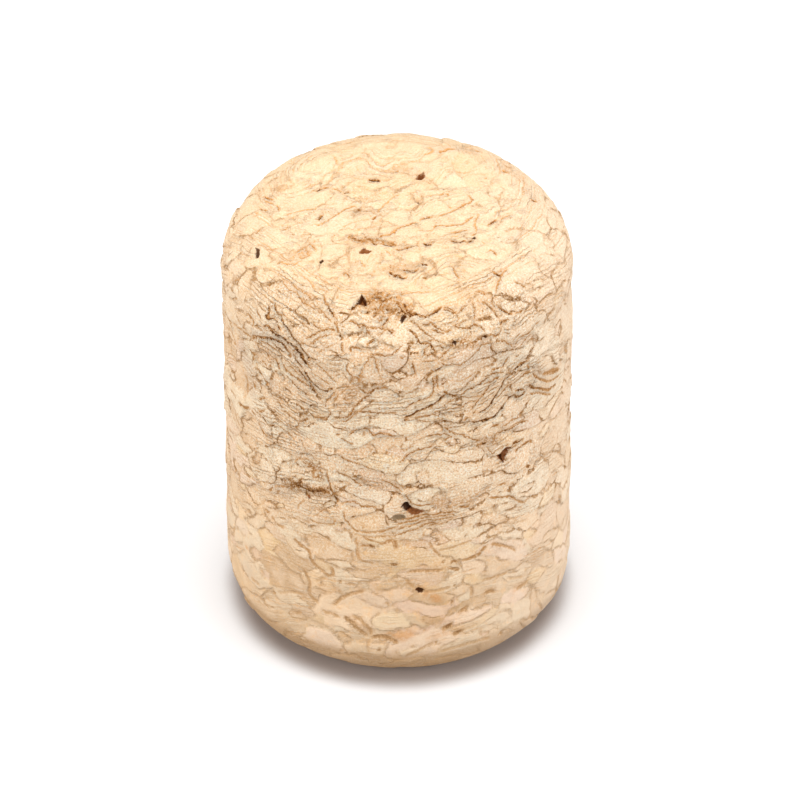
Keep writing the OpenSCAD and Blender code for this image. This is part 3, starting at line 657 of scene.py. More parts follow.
upperRightSeams = [
    (0.75, 0.06, [(403, 305), (406, 309), (410, 312.5), (415, 314), (420, 316), (426, 317.5), (430, 315),
                  (434, 312), (438, 308), (442, 305)]),
    (0.85, 0.06, [(443, 308), (447, 310), (451, 312), (456, 314)]),
    (0.5, 0.05, [(456, 314), (458, 319), (456, 324)]),
    (0.5, 0.05, [(456, 316), (460, 311), (464, 307), (469, 304)]),
    (0.55, 0.05, [(471, 300), (474, 306), (475, 313), (475, 321)]),
    (0.7, 0.07, [(480, 301), (485, 304), (490, 308), (494, 312)]),
    (0.8, 0.07, [(495, 303), (499, 307), (503, 310), (508, 313), (513, 313.5)]),
    (0.5, 0.05, [(513, 313.5), (519, 312), (524, 308)]),
    (0.6, 0.05, [(490, 309), (494, 313), (498, 318), (500, 321)]),
    (0.8, 0.06, [(500, 321), (505, 320.5), (508, 318)]),
    (0.95, 0.07, [(500.5, 322), (501, 325)]),
    (0.6, 0.05, [(501, 325), (500, 330), (498, 334), (494, 336), (490, 336)]),
    (0.55, 0.05, [(455, 326), (460, 324), (464, 321), (468, 319)]),
    (0.6, 0.05, [(454, 327), (461, 328), (467, 328), (472, 326), (474, 324.5), (479, 326), (483, 329),
                 (485, 333)]),
    (0.7, 0.1, [(453, 327), (457, 325)]),
    (0.5, 0.06, [(428, 320), (434, 325), (440, 329), (446, 332), (450, 330), (454, 328)]),
    (0.6, 0.06, [(430, 329), (436, 331), (442, 333), (447, 333)]),
    (0.55, 0.06, [(414, 321), (418, 326), (423, 331), (430, 336), (437, 339)]),
    (0.75, 0.06, [(406, 329), (411, 331), (415, 335), (418, 340), (421, 344), (426, 344), (431, 345),
                  (434, 349), (437, 355)]),
    (0.5, 0.05, [(424, 340), (430, 341), (437, 341), (444, 344), (450, 347)]),
    (0.7, 0.05, [(432, 345), (427, 348), (424, 352), (426, 355), (430, 355.5), (434, 353)]),
    (0.6, 0.06, [(434, 348), (438, 346), (443, 348), (445, 351)]),
    (0.5, 0.05, [(419, 361), (426, 361.5), (433, 361), (438, 361)]),
    (0.55, 0.04, [(438, 361), (442, 356), (447, 352), (451, 349), (456, 345)]),
    (0.55, 0.04, [(440, 361), (443, 364), (448, 366), (454, 365), (460, 365.5), (464, 363), (470, 359),
                  (475, 354), (479, 350), (482, 346), (487, 344), (493, 343)]),
    (0.5, 0.05, [(493, 343), (499, 340), (504, 341), (509, 344), (514, 348)]),
    (0.7, 0.08, [(475, 341), (477, 343)]),
    (0.5, 0.08, [(465, 347), (469, 346)]),
    (0.7, 0.08, [(494, 341), (497, 339)]),
    (0.6, 0.06, [(500, 339), (502, 341)]),
    (0.85, 0.07, [(443, 366), (440, 369), (435, 371), (431, 372)]),
    (0.65, 0.06, [(413, 361), (413, 367), (415, 372), (416, 378)]),
    (0.5, 0.05, [(400, 357), (407, 356.5)]),
    (0.6, 0.05, [(432, 374), (433, 380), (434, 386), (433, 392), (429, 397), (423, 400), (416, 402),
                 (409, 406), (403, 410)]),
    (0.6, 0.05, [(435, 373), (437, 378), (438, 384), (438, 390)]),
    (0.45, 0.04, [(434, 376), (436, 382), (435, 388)]),
    (0.9, 0.07, [(440, 392), (444, 391.5), (446, 393), (444, 397), (440, 400), (436, 402.5),
                 (431, 405.5), (426, 408), (421, 410), (415, 413), (409, 416), (403, 418)]),
    (0.95, 0.07, [(446, 393), (450, 395), (455, 396.5), (459, 396)]),
    (0.75, 0.05, [(459, 396), (464, 393), (469, 389), (475, 386), (480, 383), (485, 379), (490, 375)]),
    (0.5, 0.05, [(441, 408), (446, 403), (452, 400), (458, 397)]),
    (0.4, 0.04, [(460, 397), (467, 397.5), (474, 396.5), (481, 395)]),
    (0.5, 0.05, [(458, 408), (463, 406), (468, 402), (474, 401), (479, 400)]),
    (0.6, 0.05, [(468, 411), (472, 407), (477, 402), (482, 396), (486, 391), (490, 385), (496, 381)]),
    (0.6, 0.06, [(463, 421), (467, 417), (469, 415.5)]),
    (0.95, 0.08, [(471, 421), (474, 423), (479, 422.5), (485, 421), (491, 419.5), (496, 417), (500, 412),
                  (504, 406), (507, 401)]),
    (0.8, 0.07, [(476, 413), (481, 411), (486, 409), (490, 405), (494, 399), (498, 393), (501, 388),
                 (504, 382), (508, 377), (512, 373)]),
    (0.6, 0.08, [(471, 413), (475, 411)]),
    (0.9, 0.07, [(512, 373), (516, 369.5), (520, 365), (525, 362), (529, 359)]),
    (0.55, 0.05, [(494, 400), (499, 397), (503, 392), (507, 387), (510, 383)]),
    (0.6, 0.05, [(482, 384), (488, 382), (494, 378), (500, 376)]),
    (0.6, 0.05, [(480, 378), (486, 376), (492, 373), (500, 372), (505, 371)]),
    (0.75, 0.06, [(510, 356), (507, 360), (504, 365), (500, 369)]),
    (0.6, 0.06, [(490, 370), (496, 368), (501, 367)]),
    (0.25, 0.04, [(452, 382), (460, 381), (468, 378), (474, 374), (480, 372)]),
    (0.95, 0.1, [(404, 418.7), (407, 420)]),
    (0.6, 0.05, [(415, 418), (424, 416), (434, 414), (438, 413)]),
    (0.5, 0.04, [(415, 420), (425, 421), (433, 421)]),
    (0.6, 0.1, [(440, 422), (446, 421), (451, 423)]),
    (0.7, 0.05, [(444, 428), (447, 429)]),
    (0.45, 0.05, [(449, 428), (460, 428)]),
    (0.5, 0.05, [(490, 427), (496, 425), (500, 427)]),
    (0.55, 0.05, [(492, 439), (498, 435), (504, 432), (510, 429), (516, 426), (522, 423), (528, 420)]),
    (0.4, 0.05, [(502, 427), (509, 422), (516, 419), (522, 416)]),
    (0.5, 0.05, [(430, 436), (438, 434), (446, 435), (453, 439)]),
    (0.6, 0.06, [(416, 385), (420, 384)]),
    (0.5, 0.05, [(405, 394), (411, 392), (416, 391)]),
    (0.45, 0.05, [(511, 341), (516, 336), (520, 331)]),
    (0.45, 0.05, [(519, 349), (524, 343), (529, 337)]),
    (0.4, 0.05, [(515, 358), (522, 353)]),
    (0.5, 0.06, [(513, 320), (514, 316)]),
]

frontEdgeSeams = [
    (1.2, 0.1, [(480.5, 338.3), (484, 336.5), (488.5, 334.8)]),
    (1.2, 0.09, [(500.6, 321.5), (501.3, 325)]),
    (1.1, 0.08, [(404, 326), (403, 327.5)]),
    (0.6, 0.05, [(488, 335), (492, 334), (495, 336)]),
]

topViewSeams = [
    (1.3, 0.11, [(367.5, 178.5), (372, 179.3), (377, 179.8), (382, 181)]),
    (1.2, 0.09, [(316, 191.8), (319, 189.8), (322, 188.2)]),
    (0.8, 0.08, [(322, 188.2), (326, 188.5), (330, 189)]),
    (0.5, 0.07, [(330, 189), (338, 190), (345, 191.3)]),
    (1.1, 0.08, [(345, 191.5), (349, 191.6)]),
    (1.1, 0.08, [(317.5, 220.7), (320, 218), (323, 215)]),
    (0.7, 0.08, [(261, 195), (266, 196.5), (270, 198), (275, 198.7)]),
    (0.5, 0.07, [(265, 199), (270, 202), (274, 201)]),
    (0.6, 0.07, [(277, 204), (279, 208), (280, 211.5)]),
    (0.6, 0.1, [(258, 206.5), (263, 208), (268, 208.7)]),
    (0.4, 0.14, [(257.5, 213), (258, 218)]),
    (0.5, 0.08, [(280, 229.5), (284, 229), (287, 227.5)]),
    (0.6, 0.1, [(255, 234.5), (258, 232), (260, 230.5)]),
    (1.1, 0.09, [(357.3, 208.6), (359.7, 209.4)]),
    (1.1, 0.08, [(351, 237), (353, 236.4), (355.5, 235.3)]),
    (0.9, 0.08, [(357, 237.7), (361, 238.7)]),
    (0.9, 0.08, [(363, 239.5), (367, 239), (371, 239.8), (372.5, 242), (369, 241.5)]),
    (0.9, 0.08, [(372, 242.5), (375, 244.7), (378, 245)]),
    (0.6, 0.09, [(373, 240), (376, 238.8), (381, 236.3), (385, 235.3)]),
    (1.1, 0.08, [(381, 244), (386, 245.7), (391, 246), (394, 243.5)]),
    (0.8, 0.08, [(393, 249.5), (399, 250), (406, 248.5), (413, 246), (420, 243.5)]),
    (1.1, 0.1, [(423, 241.3), (426, 243.7), (430, 245), (433, 244.3)]),
    (0.7, 0.08, [(430, 242.3), (433, 242), (435.5, 243)]),
    (0.5, 0.07, [(385, 251), (388, 253), (392, 255)]),
    (0.6, 0.08, [(402, 241.3), (406, 242)]),
    (0.6, 0.07, [(376, 239), (380, 237), (387, 235.5), (394, 232), (397, 229), (404, 226), (411, 223.5),
                 (418, 220)]),
    (0.8, 0.07, [(418, 220), (424, 217), (432, 215.5), (436, 215.3)]),
    (0.6, 0.07, [(436, 215.3), (441, 214.5), (448, 213), (455, 210), (462, 206.5), (469, 203.5),
                 (472, 201.5), (470, 198), (467, 196)]),
    (0.6, 0.06, [(433, 229), (435, 225), (440, 224), (448, 224.5), (456, 223.5), (463, 222.5),
                 (468, 219), (475, 215.5)]),
    (0.4, 0.06, [(415, 231), (422, 229.5), (430, 229), (436, 229)]),
    (0.7, 0.06, [(448, 231.5), (454, 231), (460, 230), (463, 228.5), (470, 229)]),
    (0.35, 0.06, [(448, 235), (455, 234.5), (463, 234)]),
    (1, 0.08, [(450, 239.5), (455, 241), (461, 240.7), (467, 240)]),
    (1.3, 0.08, [(467, 242), (470, 241), (472, 240)]),
    (1.3, 0.08, [(472.8, 238), (474.3, 238)]),
    (0.5, 0.06, [(477, 232.5), (476, 228), (475, 224), (476, 219), (478, 216), (476, 213)]),
    (0.8, 0.06, [(474, 236), (475, 233)]),
    (0.9, 0.08, [(488, 225.5), (490, 224), (494, 221.5), (499, 219.5)]),
    (0.6, 0.07, [(499, 219.5), (505, 218), (510, 216)]),
    (0.35, 0.07, [(479, 241), (483, 243), (486, 246.5)]),
    (0.7, 0.06, [(487, 251), (491, 251.5), (494, 252.5), (498, 256)]),
    (1.2, 0.07, [(420, 261.5), (424, 263.5), (429, 265)]),
    (1.1, 0.07, [(401, 268.5), (405, 270), (409, 269.5), (414, 271), (416, 268.5), (420, 267.5)]),
    (1.2, 0.09, [(389, 271.5), (393, 275.5), (399, 276), (403, 278), (408, 277.5)]),
    (0.7, 0.05, [(452, 266), (454, 270), (456, 275), (460, 281)]),
    (1.1, 0.07, [(492, 272.5), (495, 275), (499, 276), (503, 276)]),
    (0.8, 0.07, [(421, 198), (424, 196)]),
    (0.45, 0.06, [(424, 196), (430, 196), (438, 195.5), (442, 195), (446, 192)]),
    (0.6, 0.07, [(447, 194), (449, 197)]),
    (0.9, 0.1, [(395.5, 170.5), (399, 170.5)]),
    (0.5, 0.1, [(424, 147), (430, 147.5), (433, 150), (429, 153), (421, 154.5)]),
    (0.7, 0.1, [(438, 149), (443, 151.5), (449, 150), (457, 150)]),
    (0.7, 0.1, [(474, 151), (480, 152.5)]),
    (0.8, 0.12, [(503, 171.5), (507, 173.5)]),
    (0.9, 0.07, [(530, 200.5), (533, 201.5), (536, 203.5)]),
    (0.4, 0.1, [(330, 154), (334, 156), (337, 160), (338, 166)]),
    (0.3, 0.1, [(355, 163), (358, 168), (363, 173)]),
    (0.3, 0.09, [(350, 174), (357, 177), (366, 178)]),
    (0.45, 0.07, [(280, 215), (288, 214), (296, 212), (305, 210.5), (313, 210), (318, 207.5)]),
    (0.25, 0.08, [(277, 224), (285, 225), (293, 225.5)]),
    (0.5, 0.07, [(312, 225), (320, 225), (327, 221), (334, 217), (340, 213), (347, 209), (354, 207),
                 (360, 208)]),
    (0.35, 0.08, [(340, 229), (348, 225), (356, 222), (365, 221), (372, 220.5)]),
    (0.7, 0.08, [(370, 220.5), (374, 219.5), (376, 216)]),
    (0.3, 0.08, [(352, 232), (362, 229), (372, 227), (380, 224)]),
    (0.4, 0.08, [(376, 213), (380, 208), (387, 203), (395, 197), (402, 194)]),
    (0.6, 0.06, [(295, 252), (300, 248), (306, 245.5), (312, 246), (318, 252)]),
    (0.55, 0.06, [(298, 254), (302, 257), (307, 255), (311, 251)]),
    (0.5, 0.06, [(305, 246), (308, 252), (312, 256)]),
    (0.8, 0.08, [(278, 262), (282, 261.5)]),
    (0.5, 0.06, [(282, 261.5), (288, 264), (294, 262)]),
    (0.45, 0.06, [(290, 267), (296, 263), (302, 259)]),
    (1.2, 0.09, [(320.5, 262), (322.5, 262.3)]),
    (0.45, 0.06, [(322, 261), (327, 260)]),
    (0.8, 0.07, [(343, 277), (346, 274), (350, 279)]),
    (0.5, 0.07, [(361, 259), (363, 264), (366, 268)]),
    (0.6, 0.07, [(368, 275), (373, 276)]),
    (0.4, 0.07, [(448, 205), (452, 209)]),
]

# The first seams are darker and wider at the front edge and paler on the lower wall: the
# turns and arcs that hold their mean point there, and what they are multiplied by
seamGains = {
    "edgeTurns": (-17, 7),
    "edgeArcs": (42.0, 44.6),
    "edgeDarker": 1.6,
    "darkest": 1.6,
    "edgeWider": 1.2,
    "lowArcs": (22, 31),
    "lowPaler": 0.85,
}


def gained(rows):
    result = []
    for darkness, halfWidth, points in rows:
        turn, arc = np.mean(points, axis=0)
        inTurns = seamGains["edgeTurns"][0] < turn < seamGains["edgeTurns"][1]
        if inTurns and seamGains["edgeArcs"][0] < arc < seamGains["edgeArcs"][1]:
            darkness = min(seamGains["darkest"], darkness * seamGains["edgeDarker"])
            halfWidth = halfWidth * seamGains["edgeWider"]
        elif seamGains["lowArcs"][0] < arc < seamGains["lowArcs"][1]:
            darkness = darkness * seamGains["lowPaler"]
        result.append((round(darkness, 2), round(halfWidth, 2), points))
    return result


def fromView(rows, place):
    return [(darkness, halfWidth, place(pixels)) for darkness, halfWidth, pixels in rows]


firstInView = hollowSeams + lowerWallSeams + rightShoulderSeams
wallSeams = gained(wallSeamsByTurn + fromView(firstInView, seenOnWall))
wallSeams += fromView(upperLeftSeams + upperRightSeams + frontEdgeSeams, seenOnWall)
topSeams = fromView(topViewSeams, seenOnTop)

seamMarks = {"channels": 8, "reach": 0.36, "endTaper": 0.4, "fadePower": {"wall": 0.9, "top": 1.4}}


def smoothCurve(points):
    # Curve through the points: between b and c of four in a row, half of
    # 2b + (c - a) t + (2a - 5b + 4c - d) t^2 + (3b - a - 3c + d) t^3
    p = np.asarray(points, float)
    p = np.vstack([2 * p[0] - p[1], p, 2 * p[-1] - p[-2]])
    t = np.linspace(0, 1, 12, endpoint=False)[:, None]
    a, b, c, d = (p[i:len(p) - 3 + i, None] for i in range(4))
    curve = 2 * b + (c - a) * t + (2 * a - 5 * b + 4 * c - d) * t**2 + (3 * b - a - 3 * c + d) * t**3
    return np.vstack([curve.reshape(-1, 2) / 2, p[-2:-1]])


def onSkin(points, chart):
    points = np.asarray(points, float)
    if chart == "wall":
        return placeOnWall(points[:, 0], points[:, 1])[0]
    return placeOnTop(points[:, 0], points[:, 1])


def strokeOnSkin(points, chart):
    # Even steps along the smooth curve, as places on the skin
    if len(points) == 1:
        return onSkin(points, chart), 0.0
    path = onSkin(smoothCurve(points), chart)
    along = np.concatenate([[0], np.cumsum(np.linalg.norm(np.diff(path, axis=0), axis=1))])
    even = np.linspace(0, along[-1], max(3, int(along[-1] / 0.06)))
    return np.stack([np.interp(even, along, path[:, axis]) for axis in range(3)], -1), along[-1]


def nearStroke(path, reach):
    # Skin points within reach of a path: their numbers, their distance from it (above
    # zero on its left side), and how far along the path they lie, from 0 to 1
    near = np.flatnonzero(((places > path.min(0) - reach) & (places < path.max(0) + reach)).all(1))
    p = places[near]
    far = (p**2).sum(1)[:, None] - 2 * p @ path.T + (path**2).sum(1)
    closest = far.argmin(1)
    offset = p - path[closest]
    distance = np.linalg.norm(offset, axis=1)
    keep = distance < reach
    if len(path) == 1:
        return near[keep], distance[keep], 0 * distance[keep]
    tangent = np.gradient(path, axis=0)
    tangent /= np.linalg.norm(tangent, axis=1, keepdims=True)
    lateral = (offset * np.cross(normals[near], tangent[closest])).sum(1)
    middle = (closest > 0) & (closest < len(path) - 1)
    signed = np.where(middle, lateral, np.sign(lateral) * distance)
    return near[keep], signed[keep], (closest / (len(path) - 1))[keep]


def drawSeams():
    # Puts each seam in the channel where it meets the fewest others. A channel holds the
    # distance from the seam, its darkness (which fades at its ends) and its half width.
    count = seamMarks["channels"]
    channels = np.zeros((count, len(places), 3))
    clear = np.full(len(places), 1.0)
    for chart, rows in (("wall", wallSeams), ("top", topSeams)):
        for darkness, halfWidth, points in rows:
            path, length = strokeOnSkin(points, chart)
            near, signed, share = nearStroke(path, seamMarks["reach"] + 0.25)
            fromEnd = np.minimum(share, 1 - share) * length
            taper = ease(fromEnd / min(seamMarks["endTaper"], 0.3 * length))
            ink = darkness**seamMarks["fadePower"][chart] * taper
            clear[near] = np.minimum(clear[near], np.abs(signed) + 0.6 * (1 - taper))
            ink *= ease((seamMarks["reach"] - np.abs(signed)) / 0.12)
            k = np.argmin([(channels[k, near, 1] > 0).sum() for k in range(count)])
            stronger = ink > channels[k, near, 1]
            channels[k, near[stronger]] = np.stack(
                [signed[stronger], ink[stronger], np.full(stronger.sum(), halfWidth)], -1)
    return channels, clear


seamChannels, clear = drawSeams()
print("seams drawn:", len(wallSeams) + len(topSeams))

# Layers on the wall: their spacing in mm, how far a seam turns them its own way, and the
# weight of the table of leans beside the seams
wallLayers = {"spacing": 0.30, "seamReach": 1.2, "tableShare": 0.10}


def seamDirections():
    # Points along the wall's seams, flattened to mm, with their leans and weights. Steep
    # seams are granules' ends, which turn the layers less.
    rows = []
    for darkness, halfWidth, points in wallSeams:
        curve = smoothCurve(points) * [math.radians(1) * outline["radius"], 1]
        step = np.diff(curve, axis=0)
        lean = np.arctan(step[:, 1] / np.where(np.abs(step[:, 0]) < 1e-6, 1e-6, step[:, 0]))
        weight = np.hypot(step[:, 0], step[:, 1]) * darkness * (0.15 + np.cos(lean)**2)
        rows.append(np.column_stack([curve[:-1] + step / 2, lean, weight])[::3])
    return np.concatenate(rows)


def wallLeans():
    # Lean at every point of the wall's grid, in radians: the mean of the table's and the
    # near seams' leans, taken as (cos 2a, sin 2a) so that a line has no front or back
    rowCount, columnCount = outline["up"] + 1, outline["around"]
    grid = places[:rowCount * columnCount]
    n = layerNormal(grid)
    turn = np.arctan2(grid[:, 0], -grid[:, 1])
    rise = -(n[:, 0] * np.cos(turn) + n[:, 1] * np.sin(turn)) / n[:, 2]
    lean = np.arctan(rise) + 0.25 * latticeNoise(grid, 5.0, 331) + 0.18 * latticeNoise(grid, 2.2, 332)
    arc = np.repeat(np.linspace(footEdge, topEdge, rowCount), columnCount)
    flat = np.column_stack([turn * outline["radius"], arc])
    seams = seamDirections()
    total = wallLayers["tableShare"] * np.stack([np.cos(2 * lean), np.sin(2 * lean)], -1)
    pull = np.stack([np.cos(2 * seams[:, 2]), np.sin(2 * seams[:, 2])], -1) * seams[:, 3:]
    for start in range(0, len(flat), 4000):
        p = flat[start:start + 4000]
        far = ((p[:, None] - seams[:, :2])**2).sum(2)
        total[start:start + 4000] += np.exp(-far / wallLayers["seamReach"]**2) @ pull
    return (np.arctan2(total[:, 1], total[:, 0]) / 2).reshape(rowCount, columnCount)


def layerPhase():
    # Numbers the layers over the wall, rising by one each spacing. Its slope should be
    # (-sin a, cos a) / spacing, which a smooth field meets best where its Laplacian is that
    # slope's divergence. A Fourier transform solves it, with the rows mirrored.
    lean = wallLeans()
    rowCount, columnCount = lean.shape
    radius = np.hypot(places[:lean.size, 0], places[:lean.size, 1]).reshape(lean.shape)
    column = -np.sin(lean) * radius * 2 * math.pi / columnCount / wallLayers["spacing"]
    row = np.cos(lean) * (topEdge - footEdge) / (rowCount - 1) / wallLayers["spacing"]
    column = (column + np.roll(column, -1, 1)) / 2
    row = (row[:-1] + row[1:]) / 2
    spread = column - np.roll(column, 1, 1)
    spread[:-1] += row
    spread[1:] -= row
    waves = np.fft.fft2(np.vstack([spread, spread[::-1]]))
    bend = 2 * np.cos(math.pi * np.arange(2 * rowCount) / rowCount)[:, None]
    bend = bend + 2 * np.cos(2 * math.pi * np.arange(columnCount) / columnCount) - 4
    bend[0, 0] = 1
    phase = np.zeros(len(places))
    phase[:lean.size] = np.real(np.fft.ifft2(waves / bend))[:rowCount].ravel()
    # On the ends the layers lean too little to show as more than slanting bands
    ends = places[lean.size:]
    phase[lean.size:] = (0.40 * ends[:, 1] - 0.22 * ends[:, 0] + 0.9 * latticeNoise(ends, 3.5, 341)
                         + 0.3 * latticeNoise(ends, 1.2, 342)) / wallLayers["spacing"]
    height = places[:, 2]
    onWall = np.zeros(len(places))
    rowsUp = np.repeat(np.linspace(footEdge, topEdge, rowCount), columnCount)
    onWall[:lean.size] = ease((topEdge - rowsUp) / 0.5) * ease((rowsUp - footEdge) / 0.5)
    edgeRadius = np.where(height > outline["length"] / 2, outline["radius"] - outline["topRound"], footEdge)
    inside = edgeRadius - np.hypot(places[:, 0], places[:, 1])
    onWall[lean.size:] = 0.6 * ease(inside[lean.size:] / 0.6)
    return phase, onWall


phase, phaseShown = layerPhase()
print("layers numbered")

# Patches where the cork differs: where they lie, how strong they are, their half width in
# mm, and the points that they run through: places on the skin, or what is seen in the view
patches = {
    "crumbled": [
        ("wall", 0.55, 0.9, [(-11, 43.4), (-6, 43.5), (0, 43.1)]),
        ("wall", 0.8, 0.45, [(-39, 26.7), (-30.5, 26.9), (-23, 27.2)]),
        ("wall", 0.3, 0.4, [(12, 26.7), (20, 26.5), (30, 26.8)]),
        ("wall", 0.25, 0.6, [(31, 42.7), (37, 42.0)]),
        ("wall", 0.5, 0.4, [(17, 40.2), (28, 39.8)]),
        ("wall", 0.4, 0.5, [(27, 31.2), (34, 30.8)]),
        ("wall", 0.5, 0.5, [(-31, 29.3), (-27, 28.6)]),
        ("wall", 0.4, 0.5, [(-17, 35.5), (-13, 37.5)]),
        ("top", 0.6, 0.3, [(-3.1, -2.3), (-1.9, -2.8), (-0.3, -3.2)]),
        ("top", 0.35, 0.6, [(-7.2, -4.3), (-6.0, -3.5)]),
        ("top", 0.35, 0.6, [(-0.5, -6.2), (1.2, -5.8)]),
    ],
    "brown": [
        ("wall", 0.35, 0.7, [(-11, 43.5), (-6, 43.4), (0, 42.8)]),
        ("wall", 0.9, 0.35, [(-30.8, 26.7)]),
        ("wall", 0.7, 0.3, [(-35, 27.1), (-30, 27.0), (-25, 27.2)]),
        ("wall", 0.6, 0.25, [(-20.0, 26.2)]),
        ("wall", 0.9, 0.32, [(7, 19.3)]),
        ("wall", 0.95, 0.3, seenOnWall([(426, 594), (433, 597), (440, 600)])),
        ("wall", 0.7, 0.25, [(12.3, 22.4)]),
        ("wall", 0.6, 0.25, [(34, 23.1)]),
        ("wall", 0.9, 0.4, seenOnWall([(386, 638.5), (394, 637), (402, 637), (408, 635)])),
        ("wall", 0.5, 0.3, seenOnWall([(352, 618), (361, 624), (368, 631)])),
        ("wall", 0.5, 0.35, seenOnWall([(430, 638), (440, 634), (450, 630), (458, 628)])),
        ("wall", 0.35, 0.35, seenOnWall([(424, 620), (436, 621), (446, 620)])),
        ("wall", 0.35, 0.3, seenOnWall([(322, 586), (326, 592), (338, 590)])),
        ("wall", 0.4, 0.25, seenOnWall([(352, 587), (362, 590), (352, 594)])),
        ("wall", 0.35, 0.3, seenOnWall([(420, 565), (432, 567), (445, 567)])),
        ("wall", 0.45, 0.45, [(53, 18.5)]),
        ("wall", 0.5, 0.3, [(30.5, 17.8), (33, 17.6)]),
        ("wall", 0.5, 0.35, [(41.5, 16.9), (45, 16.9)]),
        ("wall", 0.7, 0.35, [(-52, 37.1), (-49, 37.3), (-46, 36.8)]),
        ("wall", 0.5, 0.5, [(13, 26.6), (19, 26.5), (29, 26.9)]),
        ("wall", 0.8, 0.28, [(-61, 18.2)]),
        ("wall", 0.4, 0.3, [(-42.5, 22.5), (-46, 22.6)]),
        ("wall", 0.5, 0.2, [(16, 23.7)]),
        ("wall", 0.5, 0.3, [(14, 33.8), (17.5, 33.5)]),
        ("top", 0.55, 0.35, [(7.5, 6.4), (7.6, 5.2)]),
        ("top", 0.5, 0.35, [(8.6, 5.4), (8.4, 4.3)]),
        ("top", 0.3, 0.4, [(0.3, 5.3)]),
        ("top", 0.7, 0.35, [(7.5, 9.0)]),
        ("top", 0.6, 0.35, [(8.7, 8.0)]),
        ("top", 0.5, 0.25, [(-1.85, -6.65)]),
        ("top", 0.5, 0.2, [(1.95, -6.95)]),
        ("top", 0.35, 0.3, [(-9.6, -1.5)]),
        ("top", 0.4, 0.25, [(2.15, -3.1)]),
        ("top", 0.4, 0.2, [(-2.0, -2.75)]),
    ],
    "grey": [
        ("wall", 0.75, 0.6, [(-44, 25.6), (-40, 26.0)]),
        ("wall", 0.5, 1.0, [(18, 37.2), (28, 38.0), (37, 38.3)]),
        ("wall", 0.7, 0.45, [(-53, 38.1), (-44, 38.7), (-39, 38.4), (-32, 37.8)]),
        ("wall", 0.7, 0.45, [(-49, 34.3), (-46, 34.6)]),
        ("wall", 0.6, 0.9, [(-62, 36.5), (-58, 34.5), (-57, 33.0)]),
        ("wall", 0.7, 0.35, [(43, 33.9), (45.5, 33.8)]),
        ("wall", 0.7, 0.35, [(49, 36), (56, 34), (63, 33.2)]),
        ("wall", 0.6, 0.3, [(47, 34), (55, 32.6), (63, 32.0)]),
        ("wall", 0.6, 0.35, [(15.5, 15.6)]),
        ("wall", 0.5, 0.3, [(52.7, 27.9)]),
        ("wall", 0.35, 0.8, seenOnWall([(248, 573), (255, 585)])),
        ("wall", 0.35, 0.5, [(-47.5, 25), (-45.5, 25.7)]),
        ("wall", 0.4, 0.8, [(-12, 37.5), (-6, 38.0), (4, 37.3)]),
        ("top", 0.7, 0.25, [(9.2, 2.0)]),
        ("top", 0.5, 0.35, [(2.0, 8.0), (3.0, 7.6), (5.5, 7.6)]),
        ("top", 0.4, 0.5, [(-6.3, 8.0)]),
        ("top", 0.4, 0.3, [(-8.8, 2.5)]),
        ("top", 0.5, 0.3, [(5.5, 10.2)]),
        ("top", 0.35, 0.25, [(-0.6, 8.9)]),
    ],
    "smooth": [
        ("wall", 1.0, 1.2, [(-27, 31.6), (-24, 32.2)]),
        ("wall", 1.0, 1.1, [(-21, 22.0), (-12, 20.9)]),
        ("wall", 1.0, 1.2, [(7, 29.0), (16, 29.5), (26, 29.3)]),
        ("wall", 1.0, 0.9, [(18, 37.4), (28, 38.2), (36, 38.5)]),
        ("wall", 1.0, 0.7, [(-13, 25.4), (-7, 25.4)]),
        ("wall", 0.8, 0.9, [(-17, 27.9), (-8, 27.5), (-3, 27.4)]),
        ("wall", 0.8, 1.2, [(30, 20.2), (38, 19.6)]),
        ("wall", 0.8, 0.9, [(36, 27.6), (42, 27.2)]),
        ("wall", 0.8, 1.2, [(40, 33.0), (50, 31.0)]),
        ("wall", 0.7, 0.8, [(44, 25.6), (47, 26)]),
        ("wall", 1.0, 0.8, [(10, 20.1), (17, 19.8)]),
        ("wall", 0.8, 0.7, [(14, 43.3), (24, 43.1)]),
        ("wall", 0.8, 1.2, [(-10, 17.2), (2, 17.0)]),
    ],
    "layered": [
        ("wall", 1.0, 1.6, [(-55, 41), (-45, 42.4), (-30, 42.2)]),
        ("wall", 1.0, 1.5, [(-58, 37), (-45, 38), (-33, 37), (-30, 35)]),
        ("wall", 1.0, 1.2, [(-14, 35.4), (-4, 36), (8, 35.2), (15, 35.2)]),
        ("wall", 1.0, 1.3, [(20, 35.4), (30, 35.2), (42, 35.4), (52, 34.5)]),
        ("wall", 1.0, 0.9, [(-2, 24.8), (8, 25.3), (20, 25.6)]),
        ("wall", 0.7, 1.5, [(-60, 28), (-48, 30), (-40, 31)]),
        ("wall", 0.6, 1.0, [(-36, 31.5), (-38, 34.5)]),
        ("wall", 0.7, 1.2, [(46, 40.5), (58, 39)]),
    ],
}


def paintPatches(kind):
    # Strength of one kind of patch: full inside half its half width, with a ragged edge
    amount = np.zeros(len(places))
    for chart, strength, halfWidth, points in patches[kind]:
        path, length = strokeOnSkin(points, chart)
        near, signed, share = nearStroke(path, 1.8 * halfWidth)
        p = places[near]
        rag = 0.35 * latticeNoise(p, 0.7, 610) + 0.2 * latticeNoise(p, 0.3, 611)
        paint = strength * ease(1.5 - np.abs(signed) / halfWidth + rag)
        amount[near] = np.maximum(amount[near], paint)
    return amount
